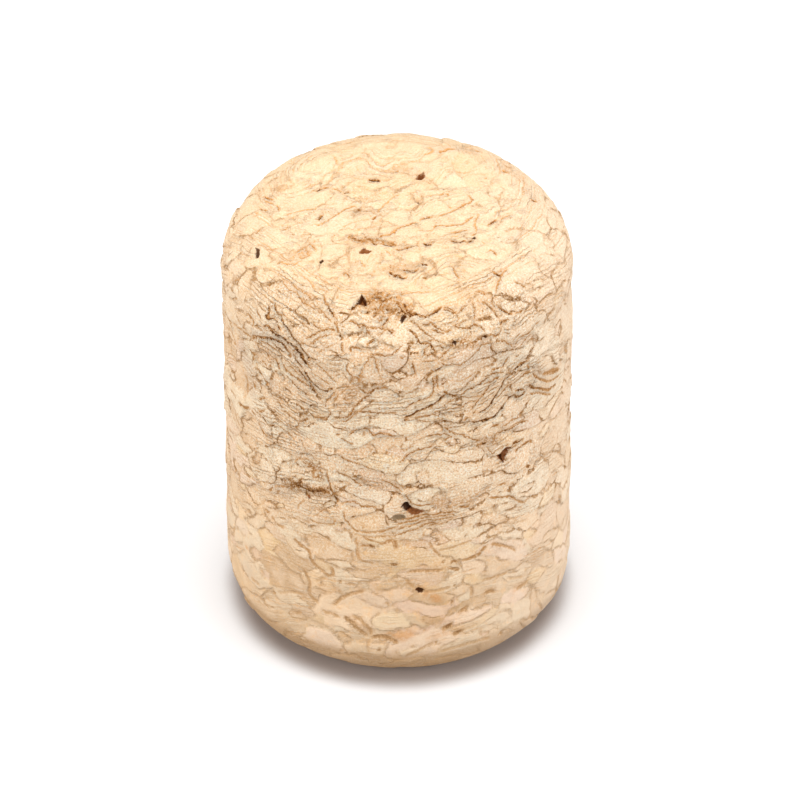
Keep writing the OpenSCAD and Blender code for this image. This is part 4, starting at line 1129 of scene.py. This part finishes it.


# Pits where a crumb of cork is lost: where they lie, their depth in mm, their colour, and
# the corners of each, which bulge outwards all round
# Pit colours: the cork's brown in the hollow, the darker ones partly painted shade
pitColours = {"dark": (76, 36, 12), "brown": (146, 82, 34), "grey": (150, 126, 96), "ochre": (190, 126, 52)}
pits = [
    ("wall", 0.30, "brown", [(2.8, 26.25), (4.5, 26.45), (8.6, 26.05), (6.5, 25.8), (4.5, 25.8)]),
    ("wall", 0.55, "dark", [(0.9, 26.65), (2.1, 26.98), (2.8, 26.95), (4.7, 26.3), (2.5, 26.2)]),
    ("wall", 0.40, "brown", [
        (34.3, 29.25), (38.5, 29.7), (40.1, 29.6), (39.6, 29.2), (37.0, 28.5), (36.0, 28.85)]),
    ("wall", 0.50, "dark", [(35.9, 29.2), (37.2, 29.35), (37.6, 28.9), (36.9, 28.6), (36.2, 28.85)]),
    ("wall", 0.30, "dark", [(5.4, 19.25), (6.0, 19.45), (8.6, 19.25), (7.5, 19.0), (6.5, 18.95)]),
    ("wall", 0.20, "grey", [
        (-2.6, 25.75), (-1.0, 25.95), (1.8, 25.9), (2.4, 25.65), (0.8, 25.48), (-1.5, 25.5)]),
    ("wall", 0.45, "brown", seenOnWall(
        [(358, 302.5), (361.5, 296.5), (366, 302), (365.5, 304.3), (361, 304.5)])),
    ("wall", 0.60, "dark", seenOnWall(
        [(361.6, 294.6), (363.2, 297), (359.6, 301), (357.2, 303.4), (355.8, 301.8)])),
    ("wall", 0.50, "dark", seenOnWall(
        [(361.6, 294.6), (364.8, 297.8), (366.3, 301.3), (364.2, 301.6), (361.2, 298.4)])),
    ("wall", 0.45, "dark", seenOnWall(
        [(365.9, 300.4), (366.9, 303), (366.3, 305.8), (364.9, 305.4), (364.5, 301.2)])),
    ("wall", 0.30, "dark", [(0.9, 42.1), (1.5, 42.4), (2.6, 42.5), (2.7, 42.2), (1.6, 41.9)]),
    ("wall", 0.25, "dark", [(18.4, 40.15), (19.0, 40.28), (20.1, 40.15), (19.6, 39.88)]),
    ("wall", 0.20, "brown", [(-31.2, 26.3), (-30.5, 26.5), (-29.9, 26.35), (-30.5, 26.1)]),
    ("top", 0.50, "brown", [(1.28, 4.42), (1.5, 4.85), (1.85, 5.02), (1.95, 4.5), (1.6, 4.12)]),
    ("top", 0.35, "dark", [(-9.62, -2.9), (-9.38, -3.15), (-9.42, -3.8), (-9.6, -3.85), (-9.68, -3.5)]),
    ("top", 0.30, "brown", [(-2.62, -4.08), (-2.3, -3.52), (-1.72, -3.95), (-1.95, -4.2), (-2.3, -4.2)]),
    ("top", 0.15, "dark", [(5.12, -2.51), (5.29, -2.38), (5.36, -2.55), (5.27, -2.7)]),
    ("top", 0.10, "ochre", [(1.65, -7.02), (1.84, -6.85), (2.12, -6.88), (1.92, -7.18)]),
    ("top", 0.15, "dark", [(-5.25, -5.05), (-5.05, -4.95), (-4.95, -5.15), (-5.15, -5.3)]),
]


def pitFrame(chart, points):
    # The pit's corners, its middle, and the way out of the skin there
    corners = onSkin(points, chart)
    middle = corners.mean(0)
    facing = np.cross(corners - middle, np.roll(corners, -1, 0) - middle).sum(0)
    facing /= np.linalg.norm(facing)
    return corners, middle, facing if facing @ (middle - [0, 0, outline["length"] / 2]) > 0 else -facing


def pitPlanes(chart, points):
    # Planes through the pit's sides, with one behind it, each as a direction and a
    # distance from the origin: inside the pit a point lies behind them all
    corners, middle, facing = pitFrame(chart, points)
    planes = [(-facing, -facing @ middle + 1.5)]
    for corner, following in zip(corners, np.roll(corners, -1, 0)):
        direction = np.cross(following - corner, facing)
        direction /= np.linalg.norm(direction)
        direction *= np.sign(direction @ (corner - middle))
        planes.append((direction, direction @ corner))
    return planes


def digPits():
    # How deep the skin is sunk, in mm: an eased slope inwards from the pit's outline
    sunk = np.zeros(len(places))
    for chart, depth, colour, points in pits:
        planes = pitPlanes(chart, points)
        distance = np.max([places @ direction - offset for direction, offset in planes], axis=0)
        sunk = np.maximum(sunk, depth * ease((0.08 - distance) / 0.25))
    return sunk


pitDepth = digPits()
crumbled, brown, grey, smooth, layered = (paintPatches(kind) for kind in patches)
print("pits dug:", len(pits))


def softness():
    # How worn and faint the texture is, from 0 to 1: least on the upper wall and its rim,
    # more down the wall and towards the far side of the top
    turn = np.degrees(np.arctan2(places[:, 0], -places[:, 1]))
    low = ease((19 - places[:, 2]) / 12)
    onTop = ease((places[:, 2] - outline["length"] + 0.6) / 0.5)
    far = ease((places[:, 1] - 1) / 12) * onTop
    aside = 0.5 * ease((np.abs(turn) - 45) / 15) * (1 - onTop)
    return np.maximum(np.maximum(0.9 * low, 0.75 * far), aside)


def seamGroove():
    # Depth of the grooves along the drawn seams: darkness x width, fading as exp(-(d/w)^2)
    signed, ink, halfWidth = np.moveaxis(seamChannels, 2, 0)
    spread = np.maximum(halfWidth, 0.10)
    return (ink * halfWidth * np.exp(-(signed / spread)**2)).max(0)


rng = np.random.default_rng(5)
tone = rng.normal(size=(len(centres), 3))[own]
tip = rng.normal(size=(len(centres), 3))[own]
relief = 0.035 * tone[:, 0] - 0.04 * np.exp(-(edge / 0.14)**2)
relief += 0.075 * np.clip(((warped - centres[own]) * tip).sum(1), -1.5, 1.5)
relief += 0.03 * latticeNoise(places, 0.8, 77) + 0.015 * latticeNoise(places, 0.4, 78)
relief += crumbled * (0.10 * latticeNoise(places, 0.55, 79) - 0.06)
relief *= 1 - 0.5 * softness()
relief -= 0.9 * seamGroove() + pitDepth
relief = np.where(normals[:, 2] < -0.5, np.minimum(relief, 0), np.minimum(relief, 0.15))
shape = places + normals * relief[:, None]


def putMesh(name, points, quads, attributes):
    mesh = bpy.data.meshes.new(name)
    mesh.vertices.add(len(points))
    mesh.vertices.foreach_set("co", (points * mm).astype(np.float32).ravel())
    mesh.loops.add(quads.size)
    mesh.loops.foreach_set("vertex_index", quads.astype(np.int32).ravel())
    mesh.polygons.add(len(quads))
    mesh.polygons.foreach_set("loop_start", np.arange(0, quads.size, 4, dtype=np.int32))
    mesh.polygons.foreach_set("loop_total", np.full(len(quads), 4, np.int32))
    mesh.polygons.foreach_set("use_smooth", np.ones(len(quads), bool))
    mesh.update(calc_edges=True)
    mesh.validate()
    for label, values in attributes.items():
        layer = mesh.attributes.new(label, "FLOAT_VECTOR", "POINT")
        layer.data.foreach_set("vector", values.astype(np.float32).ravel())
    piece = bpy.data.objects.new(name, mesh)
    bpy.context.scene.collection.objects.link(piece)
    return piece


marks = {
    "granuleEdge": edges,
    "granuleTone": tone,
    "layers": np.stack([phase, phaseShown, softness()], -1),
    "stains": np.stack([crumbled, brown, grey], -1),
    "calm": np.stack([smooth, layered, clear], -1),
    "faces": np.stack([ease((places[:, 2] - outline["length"] + 0.8) / 0.7), normals[:, 2], 0 * edge], -1),
}
for k in range(seamMarks["channels"]):
    marks[f"seam{k}"] = seamChannels[k]
stopperPiece = putMesh("corkStopper", shape, faces, marks)
print("stopper skin made:", len(faces) * 2, "triangles")


def addNode(tree, kind, settings=None, inputs=None):
    # One node, with its settings by name and its inputs by name or number
    node = tree.nodes.new(kind)
    for key, value in (settings or {}).items():
        setattr(node, key, value)
    for key, value in (inputs or {}).items():
        if isinstance(value, bpy.types.NodeSocket):
            tree.links.new(value, node.inputs[key])
        else:
            node.inputs[key].default_value = value
    return node


# The cork's colours, as (red, green, blue) out of 255, from the body of the granules to what
# lies over it
corkColours = {
    "darkGranule": (254, 214, 170), "paleGranule": (255, 233, 199),
    "wornDarkGranule": (196, 162, 124), "wornPaleGranule": (222, 197, 166),
    "rosyGranule": (234, 200, 176), "strawGranule": (246, 210, 156),
    "paleCloud": (250, 222, 190), "tanCloud": (236, 184, 124),
    # Painted light: top is the tone of the up-facing top in strong light, and foot is painted shade on the
    # down-facing foot
    "top": (240, 208, 166), "foot": (182, 147, 110),
    # Painted light: the sides to the left and right are paler, as lit from both sides
    "rightSide": (246, 229, 210), "leftSide": (246, 226, 204),
    "darkStreak": (214, 156, 98), "topStreak": (232, 168, 104), "paleStreak": (255, 236, 208),
    "greyPatch": (190, 168, 148), "brownPatch": (210, 150, 92), "tornFlesh": (214, 152, 92),
    "speckle": (218, 160, 98), "darkGrain": (206, 148, 96), "paleGrain": (255, 244, 226),
    # Painted light: crest and lip are painted highlights, and halo is a warm painted shade beside the seams
    "crest": (255, 242, 218), "lip": (255, 248, 228), "halo": (226, 166, 100),
}

# The ink of seams and gaps, from faint to deep: where it starts and is full, and its
# colour on the crisp wall, on the worn wall and on the top
seamInk = [
    (0.00, 0.45, (204, 146, 88), (190, 150, 107), (236, 174, 110)),
    (0.30, 0.80, (162, 109, 60), (156, 116, 76), (202, 130, 66)),
    (0.70, 1.10, (92, 53, 25), (108, 75, 46), (128, 70, 26)),
]
stainInk = ((214, 156, 96), (204, 166, 122), (238, 178, 114))


class Wiring:
    # Shorthand for a material's nodes. Sockets and plain numbers can be mixed in any call.

    def __init__(self, tree):
        self.tree = tree
        where = addNode(tree, "ShaderNodeTexCoord").outputs["Object"]
        self.place = addNode(tree, "ShaderNodeVectorMath", {"operation": "SCALE"},
                             {0: where, "Scale": 1 / mm}).outputs[0]

    def maths(self, operation, a, b=0.0, c=0.0):
        return addNode(self.tree, "ShaderNodeMath", {"operation": operation}, {0: a, 1: b, 2: c}).outputs[0]

    def chain(self, operation, values):
        result = values[0]
        for value in values[1:]:
            result = self.maths(operation, result, value)
        return result

    def product(self, *values):
        return self.chain("MULTIPLY", values)

    def total(self, *values):
        return self.chain("ADD", values)

    def largest(self, *values):
        return self.chain("MAXIMUM", values)

    def line(self, value, slope, start=1.0):
        # start + slope x value
        return self.maths("MULTIPLY_ADD", value, slope, start)

    def ramp(self, value, fromLow, fromHigh, toLow=0.0, toHigh=1.0):
        # Eased step from toLow to toHigh
        return addNode(self.tree, "ShaderNodeMapRange", {"interpolation_type": "SMOOTHSTEP"},
                       {"Value": value, "From Min": fromLow, "From Max": fromHigh,
                        "To Min": toLow, "To Max": toHigh}).outputs["Result"]

    def fade(self, value, start, end):
        # Eased step from 1 at start to 0 at end
        return self.ramp(value, start, end, 1.0, 0.0)

    def mixed(self, share, a, b):
        return addNode(self.tree, "ShaderNodeMix", {"data_type": "RGBA"}, {0: share, 6: a, 7: b}).outputs[2]

    def split(self, vector):
        return addNode(self.tree, "ShaderNodeSeparateXYZ", inputs={0: vector}).outputs

    def attribute(self, name):
        node = addNode(self.tree, "ShaderNodeAttribute", {"attribute_name": name})
        return self.split(node.outputs["Vector"])

    def noise(self, scale, detail=2.0, rough=0.5):
        return addNode(self.tree, "ShaderNodeTexNoise", inputs={
            "Vector": self.place, "Scale": scale, "Detail": detail, "Roughness": rough}).outputs["Fac"]

    def swing(self, scale, reach, detail=2.0, rough=0.5):
        # Noise about zero: reach x (2 noise - 1)
        return self.maths("MULTIPLY_ADD", self.noise(scale, detail, rough), 2 * reach, -reach)


def sRGB(colour):
    # Light values of a screen colour: ((c + 0.055) / 1.055)^2.4
    return tuple(((c / 255 + 0.055) / 1.055)**2.4 for c in colour) + (1.0,)


def readMarks(w):
    # What the skin's points hold, by name, with what all later steps share
    m = SimpleNamespace()
    m.edges = list(w.attribute("granuleEdge"))
    m.tones = list(w.attribute("granuleTone"))
    m.layerPlace, m.layerShown, m.soft = w.attribute("layers")
    m.crumbs, m.brownish, m.greyish = w.attribute("stains")
    m.calm, m.banded, m.clearOfSeam = w.attribute("calm")
    m.onTop, m.facingUp, _ = w.attribute("faces")
    m.crisp = w.maths("SUBTRACT", 1.0, m.soft)
    m.stretch = w.line(m.soft, -0.4)
    m.blur = w.maths("MULTIPLY", m.soft, 0.07)
    m.shiver = w.product(w.swing(5.0, 0.20, 2.0, 0.7), m.crisp)
    m.pressure = w.total(w.product(w.ramp(w.noise(5.0, 3.0, 0.75), 0.36, 0.56, -0.45, 0.55),
                                   w.line(m.soft, -0.4)), 0.75)
    return m


def granuleSeams(w, m):
    # Seams that follow the granules, where none is drawn
    waver = w.total(w.swing(1.8, 0.09, 3.0, 0.6), m.shiver)
    apart = [w.maths("ABSOLUTE", w.total(edge, waver)) for edge in m.edges]
    nearest = w.product(m.stretch, w.chain("MINIMUM", apart))
    strength = w.product(w.ramp(w.noise(0.6, 3.0, 0.65), 0.38, 0.60, 0.10, 0.8),
                         w.ramp(m.clearOfSeam, 0.15, 0.5), m.pressure,
                         w.line(m.onTop, -0.65), w.line(m.soft, -0.4), w.line(m.crumbs, -0.8))
    width = w.total(w.ramp(w.noise(1.1, 3.0, 0.6), 0.45, 0.72, 0.04, 0.09), m.blur)
    m.seamCore = w.product(w.fade(nearest, 0.0, width), strength)
    # The halo is a warm painted shade beside the seam
    m.seamHalo = w.product(w.fade(nearest, 0.0, w.line(m.blur, 2.0, 0.22)), strength)
    m.seamStain = w.product(w.fade(nearest, 0.0, w.line(m.blur, 1.0, 0.11)), strength)


def drawnSeams(w, m):
    # Drawn seams: a dark core, a stain, a warm halo of painted shade, a groove, and a raised lip either side
    # that is also painted as a pale highlight
    jitter = w.total(w.swing(1.6, 0.07, 3.0, 0.6), w.swing(6.0, 0.05), m.shiver)
    swell = w.ramp(w.noise(2.6, 3.0, 0.7), 0.36, 0.64, 0.45, 1.25)
    coreFrom = w.line(m.soft, -0.7, 0.2)
    coreTo = w.line(m.soft, 0.5, 1.15)
    cores, halos, stains, lips, grooves = [], [], [], [], []
    for k in range(seamMarks["channels"]):
        signed, ink, halfWidth = w.attribute(f"seam{k}")
        signed = w.product(w.total(signed, jitter), m.stretch)
        distance = w.maths("ABSOLUTE", signed)
        spread = w.total(w.product(halfWidth, swell), m.blur, w.maths("MULTIPLY", m.crisp, 0.015))
        cores.append(w.product(w.fade(w.maths("DIVIDE", distance, spread), coreFrom, coreTo), ink))
        halos.append(w.product(w.fade(distance, 0.0, 0.34), ink))
        stains.append(w.product(w.fade(distance, 0.0, w.line(halfWidth, 1.0, 0.10)), ink))
        grooves.append(w.product(w.fade(distance, 0.0, 0.17), ink))
        # The lips are raised and also painted as a pale highlight, fuller on the side below the seam
        below = w.product(w.ramp(signed, -0.24, -0.12), w.fade(signed, -0.12, -0.05))
        above = w.product(w.ramp(signed, 0.05, 0.12), w.ramp(signed, 0.12, 0.22, 0.45, 0.0))
        lips.append(w.product(w.total(below, above), ink))
    m.drawnCore = w.product(w.largest(*cores), m.pressure)
    m.drawnHalo = w.largest(*halos)
    m.drawnStain = w.largest(*stains)
    m.drawnGroove = w.largest(*grooves)
    m.drawnLip = w.largest(*lips)


def pressedLayers(w, m):
    # Layers of the pressed granules, as numbered over the skin: each whole number is a
    # line, shown or not by a random value of its own
    phase = w.total(m.layerPlace, w.swing(0.9, 0.9, 3.0, 0.6), w.maths("MULTIPLY", m.shiver, 3.0))
    across = w.maths("FRACT", phase)
    pick = addNode(w.tree, "ShaderNodeTexWhiteNoise", {"noise_dimensions": "1D"},
                   {"W": w.maths("FLOOR", phase)}).outputs["Value"]
    fromLine = w.maths("MINIMUM", across, w.maths("SUBTRACT", 1.0, across))
    bandedHere = w.largest(w.ramp(w.noise(0.35, 3.0, 0.6), 0.44, 0.62, 0.05, 0.8), m.banded)
    layering = w.product(bandedHere, w.line(m.calm, -0.95), m.layerShown, w.line(m.soft, -0.85),
                         w.ramp(m.clearOfSeam, 0.12, 0.5, 0.12, 1.0))
    picked = w.total(pick, w.maths("MULTIPLY", w.noise(1.3, 3.0, 0.65), 2.0))
    strength = w.product(layering, w.ramp(picked, 1.15, 1.7))
    m.lineCore = w.product(w.fade(fromLine, 0.04, 0.20), strength, m.pressure)
    # The halo is a warm painted shade beside each line
    m.lineHalo = w.product(w.fade(fromLine, 0.0, 0.42), strength)
    m.lineStain = w.product(w.fade(fromLine, 0.0, 0.30), strength)
    # A pale lip just under each line, painted as a highlight
    m.lineLip = w.product(w.ramp(across, 0.55, 0.80), w.fade(across, 0.80, 0.90), strength)
    m.shingle = w.product(w.maths("SUBTRACT", 1.0, w.maths("POWER", across, 3.0)), layering,
                          w.line(pick, 0.8, 0.3))
    streak = addNode(w.tree, "ShaderNodeTexNoise", {"noise_dimensions": "1D"}, {
        "W": w.total(m.layerPlace, w.swing(1.2, 0.8, 3.0, 0.6)),
        "Scale": 1.7, "Detail": 3.0, "Roughness": 0.7}).outputs["Fac"]
    m.streaks = w.product(w.maths("SUBTRACT", streak, 0.5), w.largest(bandedHere, m.onTop), m.layerShown)


def tornCork(w, m):
    # Torn cork: brown flesh, a net of gaps round the crumbs, and painted shade and highlight that follow its
    # torn relief: dark gaps and flecks where it is low, pale crests where it is high
    m.torn = w.noise(3.4, 4.0, 0.75)
    flecked = w.product(w.ramp(w.noise(0.9, 3.0, 0.65), 0.50, 0.66), m.crisp, w.line(m.calm, -0.8))
    m.tearing = w.largest(m.crumbs, w.maths("MULTIPLY", flecked, 0.35))
    # Painted shade in the low parts of the torn relief, and a painted highlight on its high parts
    m.tornGap = w.product(w.ramp(m.torn, 0.47, 0.33), w.ramp(m.crumbs, 0.15, 0.7))
    m.fleck = w.product(w.ramp(m.torn, 0.42, 0.32), flecked)
    m.tornCrest = w.product(w.ramp(m.torn, 0.55, 0.66), m.tearing)
    shake = addNode(w.tree, "ShaderNodeTexNoise", inputs={"Vector": w.place, "Scale": 2.0, "Detail": 3.0})
    shaken = addNode(w.tree, "ShaderNodeVectorMath", {"operation": "MULTIPLY_ADD"}, {
        0: shake.outputs["Color"], 1: (0.8, 0.8, 0.8), 2: w.place}).outputs[0]
    cellEdge = addNode(w.tree, "ShaderNodeTexVoronoi", {"feature": "DISTANCE_TO_EDGE"},
                       {"Vector": shaken, "Scale": 2.4}).outputs["Distance"]
    m.crumbNet = w.product(w.fade(cellEdge, 0.02, 0.15), m.crumbs,
                           w.ramp(w.noise(2.5, 3.0, 0.7), 0.38, 0.6, 0.3, 1.0))


def bodyColour(w, m):
    # Colour of the granules: their own tones and clouds over them, with painted light: the top toned for its
    # strong light, painted shade on the foot, and paler sides to the left and right
    c = {name: sRGB(colour) for name, colour in corkColours.items()}
    toneA, toneB, toneC = m.tones
    sideways = w.split(w.place)[0]
    body = w.mixed(w.ramp(toneA, -1.5, 1.5),
                   w.mixed(m.soft, c["darkGranule"], c["wornDarkGranule"]),
                   w.mixed(m.soft, c["paleGranule"], c["wornPaleGranule"]))
    for share, name in (
            (w.ramp(toneB, 0.5, 2.0, 0.0, 0.6), "rosyGranule"),
            (w.ramp(toneC, 0.7, 2.0, 0.0, 0.5), "strawGranule"),
            (w.ramp(w.noise(0.6, 3.0), 0.4, 0.75, 0.0, 0.5), "paleCloud"),
            (w.ramp(w.noise(1.3, 4.0, 0.7), 0.50, 0.72, 0.0, 0.45), "tanCloud"),
            # Painted light: the up-facing top and rim take a tone set for how they look in the strong light
            # from above
            (w.ramp(m.facingUp, 0.1, 0.85, 0.0, 0.65), "top"),
            # Painted shade: the foot darkens as it turns to face down
            (w.ramp(m.facingUp, 0.02, -0.3, 0.0, 0.85), "foot"),
            # Painted light: paler towards the left and right sides, as lit from both sides
            (w.ramp(sideways, 2.0, 15.5, 0.0, 0.45), "rightSide"),
            (w.ramp(sideways, -9.0, -15.5, 0.0, 0.3), "leftSide")):
        body = w.mixed(share, body, c[name])
    return body


def fineColour(w, m, body):
    # Streaks, stains, torn flesh and grain over the granules, a painted highlight on the torn crests, and the
    # lips of the seams painted as pale highlights
    c = {name: sRGB(colour) for name, colour in corkColours.items()}
    m.grain = w.noise(8.0, 2.0, 0.8)
    m.speckle = w.noise(4.2, 4.0, 0.8)
    m.grainShare = w.product(m.crisp, w.line(m.onTop, -0.6))
    m.lip = w.product(w.largest(m.drawnLip, m.lineLip), w.ramp(m.speckle, 0.36, 0.52, 0.45, 1.0),
                      w.line(m.soft, -0.75))
    for share, colour in (
            (w.product(w.ramp(m.streaks, 0.0, 0.22), 0.7), w.mixed(m.onTop, c["darkStreak"], c["topStreak"])),
            (w.product(w.ramp(m.streaks, 0.0, -0.25), 0.6), c["paleStreak"]),
            (w.product(m.greyish, 0.55), c["greyPatch"]),
            (w.product(m.brownish, w.ramp(w.noise(2.2, 4.0, 0.7), 0.3, 0.6), 0.75), c["brownPatch"]),
            (w.product(m.tearing, w.ramp(m.torn, 0.62, 0.42), 0.5), c["tornFlesh"]),
            (w.product(w.ramp(m.speckle, 0.54, 0.72), m.crisp, 0.25), c["speckle"]),
            (w.product(w.ramp(m.grain, 0.48, 0.34), m.grainShare, 0.62), c["darkGrain"]),
            (w.product(w.ramp(m.grain, 0.51, 0.62), m.grainShare, 0.9), c["paleGrain"]),
            (m.tornCrest, c["crest"]),
            (m.lip, c["lip"])):
        body = w.mixed(share, body, colour)
    return body


def inkColour(w, m, body):
    # Halo, stain and ink of all the seams and gaps, fainter and greyer where worn. The halo is a warm painted
    # shade beside the seams.
    onWall = w.product(m.soft, w.maths("SUBTRACT", 1.0, m.onTop))
    topShare = w.maths("MULTIPLY", m.onTop, 0.8)
    inkShare = w.line(m.soft, -0.45, 1.05)

    def shade(crispWall, wornWall, top):
        return w.mixed(topShare, w.mixed(onWall, sRGB(crispWall), sRGB(wornWall)), sRGB(top))

    halo = w.largest(w.product(m.lineHalo, 0.7), w.product(m.seamHalo, 0.8), m.drawnHalo)
    body = w.mixed(w.product(halo, inkShare, 0.34), body, sRGB(corkColours["halo"]))
    stain = w.largest(m.lineStain, m.drawnStain, w.product(m.seamStain, 0.8))
    blotch = w.ramp(m.speckle, 0.34, 0.56, 0.5, 1.0)
    body = w.mixed(w.product(stain, inkShare, blotch, 0.75), body, shade(*stainInk))
    dark = w.largest(w.product(m.lineCore, 0.34), w.product(m.seamCore, 0.62), m.drawnCore,
                     w.product(m.tornGap, 0.85), w.product(m.fleck, 0.7), m.crumbNet)
    dark = w.product(dark, inkShare)
    for start, full, crispWall, wornWall, top in seamInk:
        body = w.mixed(w.ramp(dark, start, full), body, shade(crispWall, wornWall, top))
    return body


def pitColour(w, body):
    # The floor and sides of each pit, inside all of its planes, darkened partly as painted shade in the
    # hollow
    waver = w.swing(4.0, 0.10, 3.0, 0.65)
    for chart, depth, colour, points in pits:
        sides = []
        for direction, offset in pitPlanes(chart, points):
            along = addNode(w.tree, "ShaderNodeVectorMath", {"operation": "DOT_PRODUCT"},
                            {0: w.place, 1: tuple(direction)}).outputs["Value"]
            sides.append(w.maths("SUBTRACT", along, float(offset)))
        inside = w.fade(w.total(w.largest(*sides), waver), -0.03, 0.05)
        body = w.mixed(w.product(inside, 0.93), body, sRGB(pitColours[colour]))
    return body


def corkRelief(w, m):
    # Fine relief in mm: layers step like shingles, each seam is a groove with lips
    rise = w.total(
        w.product(m.seamCore, -0.14),
        w.product(m.lineCore, -0.04),
        w.product(m.drawnGroove, -0.12),
        w.product(m.lip, 0.09),
        w.product(m.torn, m.tearing, 0.60),
        w.product(m.shingle, 0.12),
        w.product(m.streaks, -0.12),
        w.product(m.grain, m.grainShare, 0.10),
        w.product(m.speckle, m.grainShare, 0.12),
        w.product(w.noise(2.2, 4.0, 0.65), 0.12))
    bump = addNode(w.tree, "ShaderNodeBump", inputs={"Height": rise, "Distance": mm, "Strength": 1.0})
    return bump.outputs[0]


def corkMaterial():
    material = bpy.data.materials.new("agglomeratedCork")
    material.use_nodes = True
    tree = material.node_tree
    tree.nodes.clear()
    w = Wiring(tree)
    m = readMarks(w)
    granuleSeams(w, m)
    drawnSeams(w, m)
    pressedLayers(w, m)
    tornCork(w, m)
    colour = pitColour(w, inkColour(w, m, fineColour(w, m, bodyColour(w, m))))
    shader = addNode(tree, "ShaderNodeBsdfPrincipled", inputs={
        "Base Color": colour, "Roughness": w.ramp(m.speckle, 0.3, 0.7, 0.78, 0.92),
        "Normal": corkRelief(w, m)})
    shader.inputs["Specular IOR Level"].default_value = 0.02
    output = addNode(tree, "ShaderNodeOutputMaterial")
    tree.links.new(shader.outputs[0], output.inputs[0])
    return material


stopperPiece.data.materials.append(corkMaterial())
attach(stopperPiece, "root")
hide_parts("stopper")
print("cork finished")

# The floor: its half side in m, how much light it sends on, its seen colours in the open
# and in the shade, how far in mm the stopper shades it, and the openness of full shade
# and of none
stageSizes = {
    "floorHalf": 1.5,
    "floorColour": 0.50,
    "shownColour": (0.92, 0.925, 0.94),
    "shadeColour": (0.45, 0.40, 0.38),
    "shadeReach": 2.5,
    "shadeOpenness": (0.355, 0.82),
}


def viewShare(tree):
    # 1 for what is seen straight, in a gloss or through glass, and 0 for light that bounces
    path = addNode(tree, "ShaderNodeLightPath").outputs
    seen = addNode(tree, "ShaderNodeMath", {"operation": "MAXIMUM"},
                   {0: path["Is Camera Ray"], 1: path["Is Glossy Ray"]}).outputs[0]
    return addNode(tree, "ShaderNodeMath", {"operation": "MAXIMUM"},
                   {0: seen, 1: path["Is Transmission Ray"]}).outputs[0]


def makeFloor():
    half = stageSizes["floorHalf"]
    mesh = bpy.data.meshes.new("floor")
    corners = [(-half, -half, 0), (half, -half, 0), (half, half, 0), (-half, half, 0)]
    mesh.from_pydata(corners, [], [(0, 1, 2, 3)])
    floor = bpy.data.objects.new("floor", mesh)
    bpy.context.scene.collection.objects.link(floor)
    material = bpy.data.materials.new("whiteFloor")
    material.use_nodes = True
    tree = material.node_tree
    tree.nodes.clear()
    bounced = (stageSizes["floorColour"],) * 3 + (1,)
    # The shadow deepens where the stopper closes the floor in
    openness = addNode(tree, "ShaderNodeAmbientOcclusion", {"samples": 12},
                       {"Distance": stageSizes["shadeReach"] * mm}).outputs["AO"]
    shut, clearOfShade = stageSizes["shadeOpenness"]
    lit = addNode(tree, "ShaderNodeMapRange", {"interpolation_type": "SMOOTHSTEP"},
                  {"Value": openness, "From Min": shut, "From Max": clearOfShade}).outputs["Result"]
    shown = addNode(tree, "ShaderNodeMix", {"data_type": "RGBA"}, {
        0: lit, 6: stageSizes["shadeColour"] + (1,), 7: stageSizes["shownColour"] + (1,)}).outputs[2]
    colour = addNode(tree, "ShaderNodeMix", {"data_type": "RGBA"}, {0: viewShare(tree), 6: bounced, 7: shown})
    shader = addNode(tree, "ShaderNodeBsdfDiffuse", inputs={"Color": colour.outputs[2]})
    output = addNode(tree, "ShaderNodeOutputMaterial")
    tree.links.new(shader.outputs[0], output.inputs[0])
    mesh.materials.append(material)
    return floor


makeFloor()

lamps = {
    "sky": 0.50,
    # each lamp: strength, tilt from straight down, turn round Z, spread, in degrees
    "overhead": (1.94, 0, 0, 50),
    "left": (2.0, 76, -66, 50),
    "right": (2.0, 76, 66, 50),
}


def makeLight():
    world = bpy.data.worlds.new("softStudio")
    bpy.context.scene.world = world
    world.use_nodes = True
    tree = world.node_tree
    tree.nodes.clear()
    sky = addNode(tree, "ShaderNodeBackground", inputs={"Color": (1, 1, 1, 1), "Strength": lamps["sky"]})
    shown = addNode(tree, "ShaderNodeBackground", inputs={"Color": (1, 1, 1, 1), "Strength": 1.0})
    mix = addNode(tree, "ShaderNodeMixShader", inputs={
        0: viewShare(tree), 1: sky.outputs[0], 2: shown.outputs[0]})
    output = addNode(tree, "ShaderNodeOutputWorld")
    tree.links.new(mix.outputs[0], output.inputs[0])
    for name in ("overhead", "left", "right"):
        strength, tilt, turn, spread = lamps[name]
        lamp = bpy.data.lights.new(name, "SUN")
        lamp.energy = strength
        lamp.angle = math.radians(spread)
        holder = bpy.data.objects.new(name, lamp)
        holder.rotation_euler = (math.radians(tilt), 0, math.radians(turn))
        bpy.context.scene.collection.objects.link(holder)


makeLight()
print("stage lit")

def makeCamera():
    # The eye is in front of the stopper and above it, turned a little so that the
    # stopper's middle falls on its pixel
    data = bpy.data.cameras.new("camera")
    data.lens = camera["lens"]
    data.sensor_width = camera["sensor"]
    data.clip_start = 0.01
    data.clip_end = 20
    holder = bpy.data.objects.new("camera", data)
    bpy.context.scene.collection.objects.link(holder)
    lift = math.radians(camera["elevation"])
    target = Vector((0, 0, outline["length"] / 2)) * mm
    eye = target + Vector((0, -math.cos(lift), math.sin(lift))) * camera["distance"] * mm
    focal = camera["lens"] / camera["sensor"] * camera["imageSide"]
    half = camera["imageSide"] / 2
    side = (camera["centrePixel"][0] - half) / focal
    drop = (camera["centrePixel"][1] - half) / focal
    turn = Matrix.Rotation(math.pi / 2 - lift, 4, "X") @ Matrix.Rotation(camera["roll"], 4, "Z")
    turn = turn @ Matrix.Rotation(side, 4, "Y") @ Matrix.Rotation(drop, 4, "X")
    holder.matrix_world = Matrix.Translation(eye) @ turn
    bpy.context.scene.camera = holder


makeCamera()
bpy.context.scene.view_settings.view_transform = "Standard"
print("camera set")
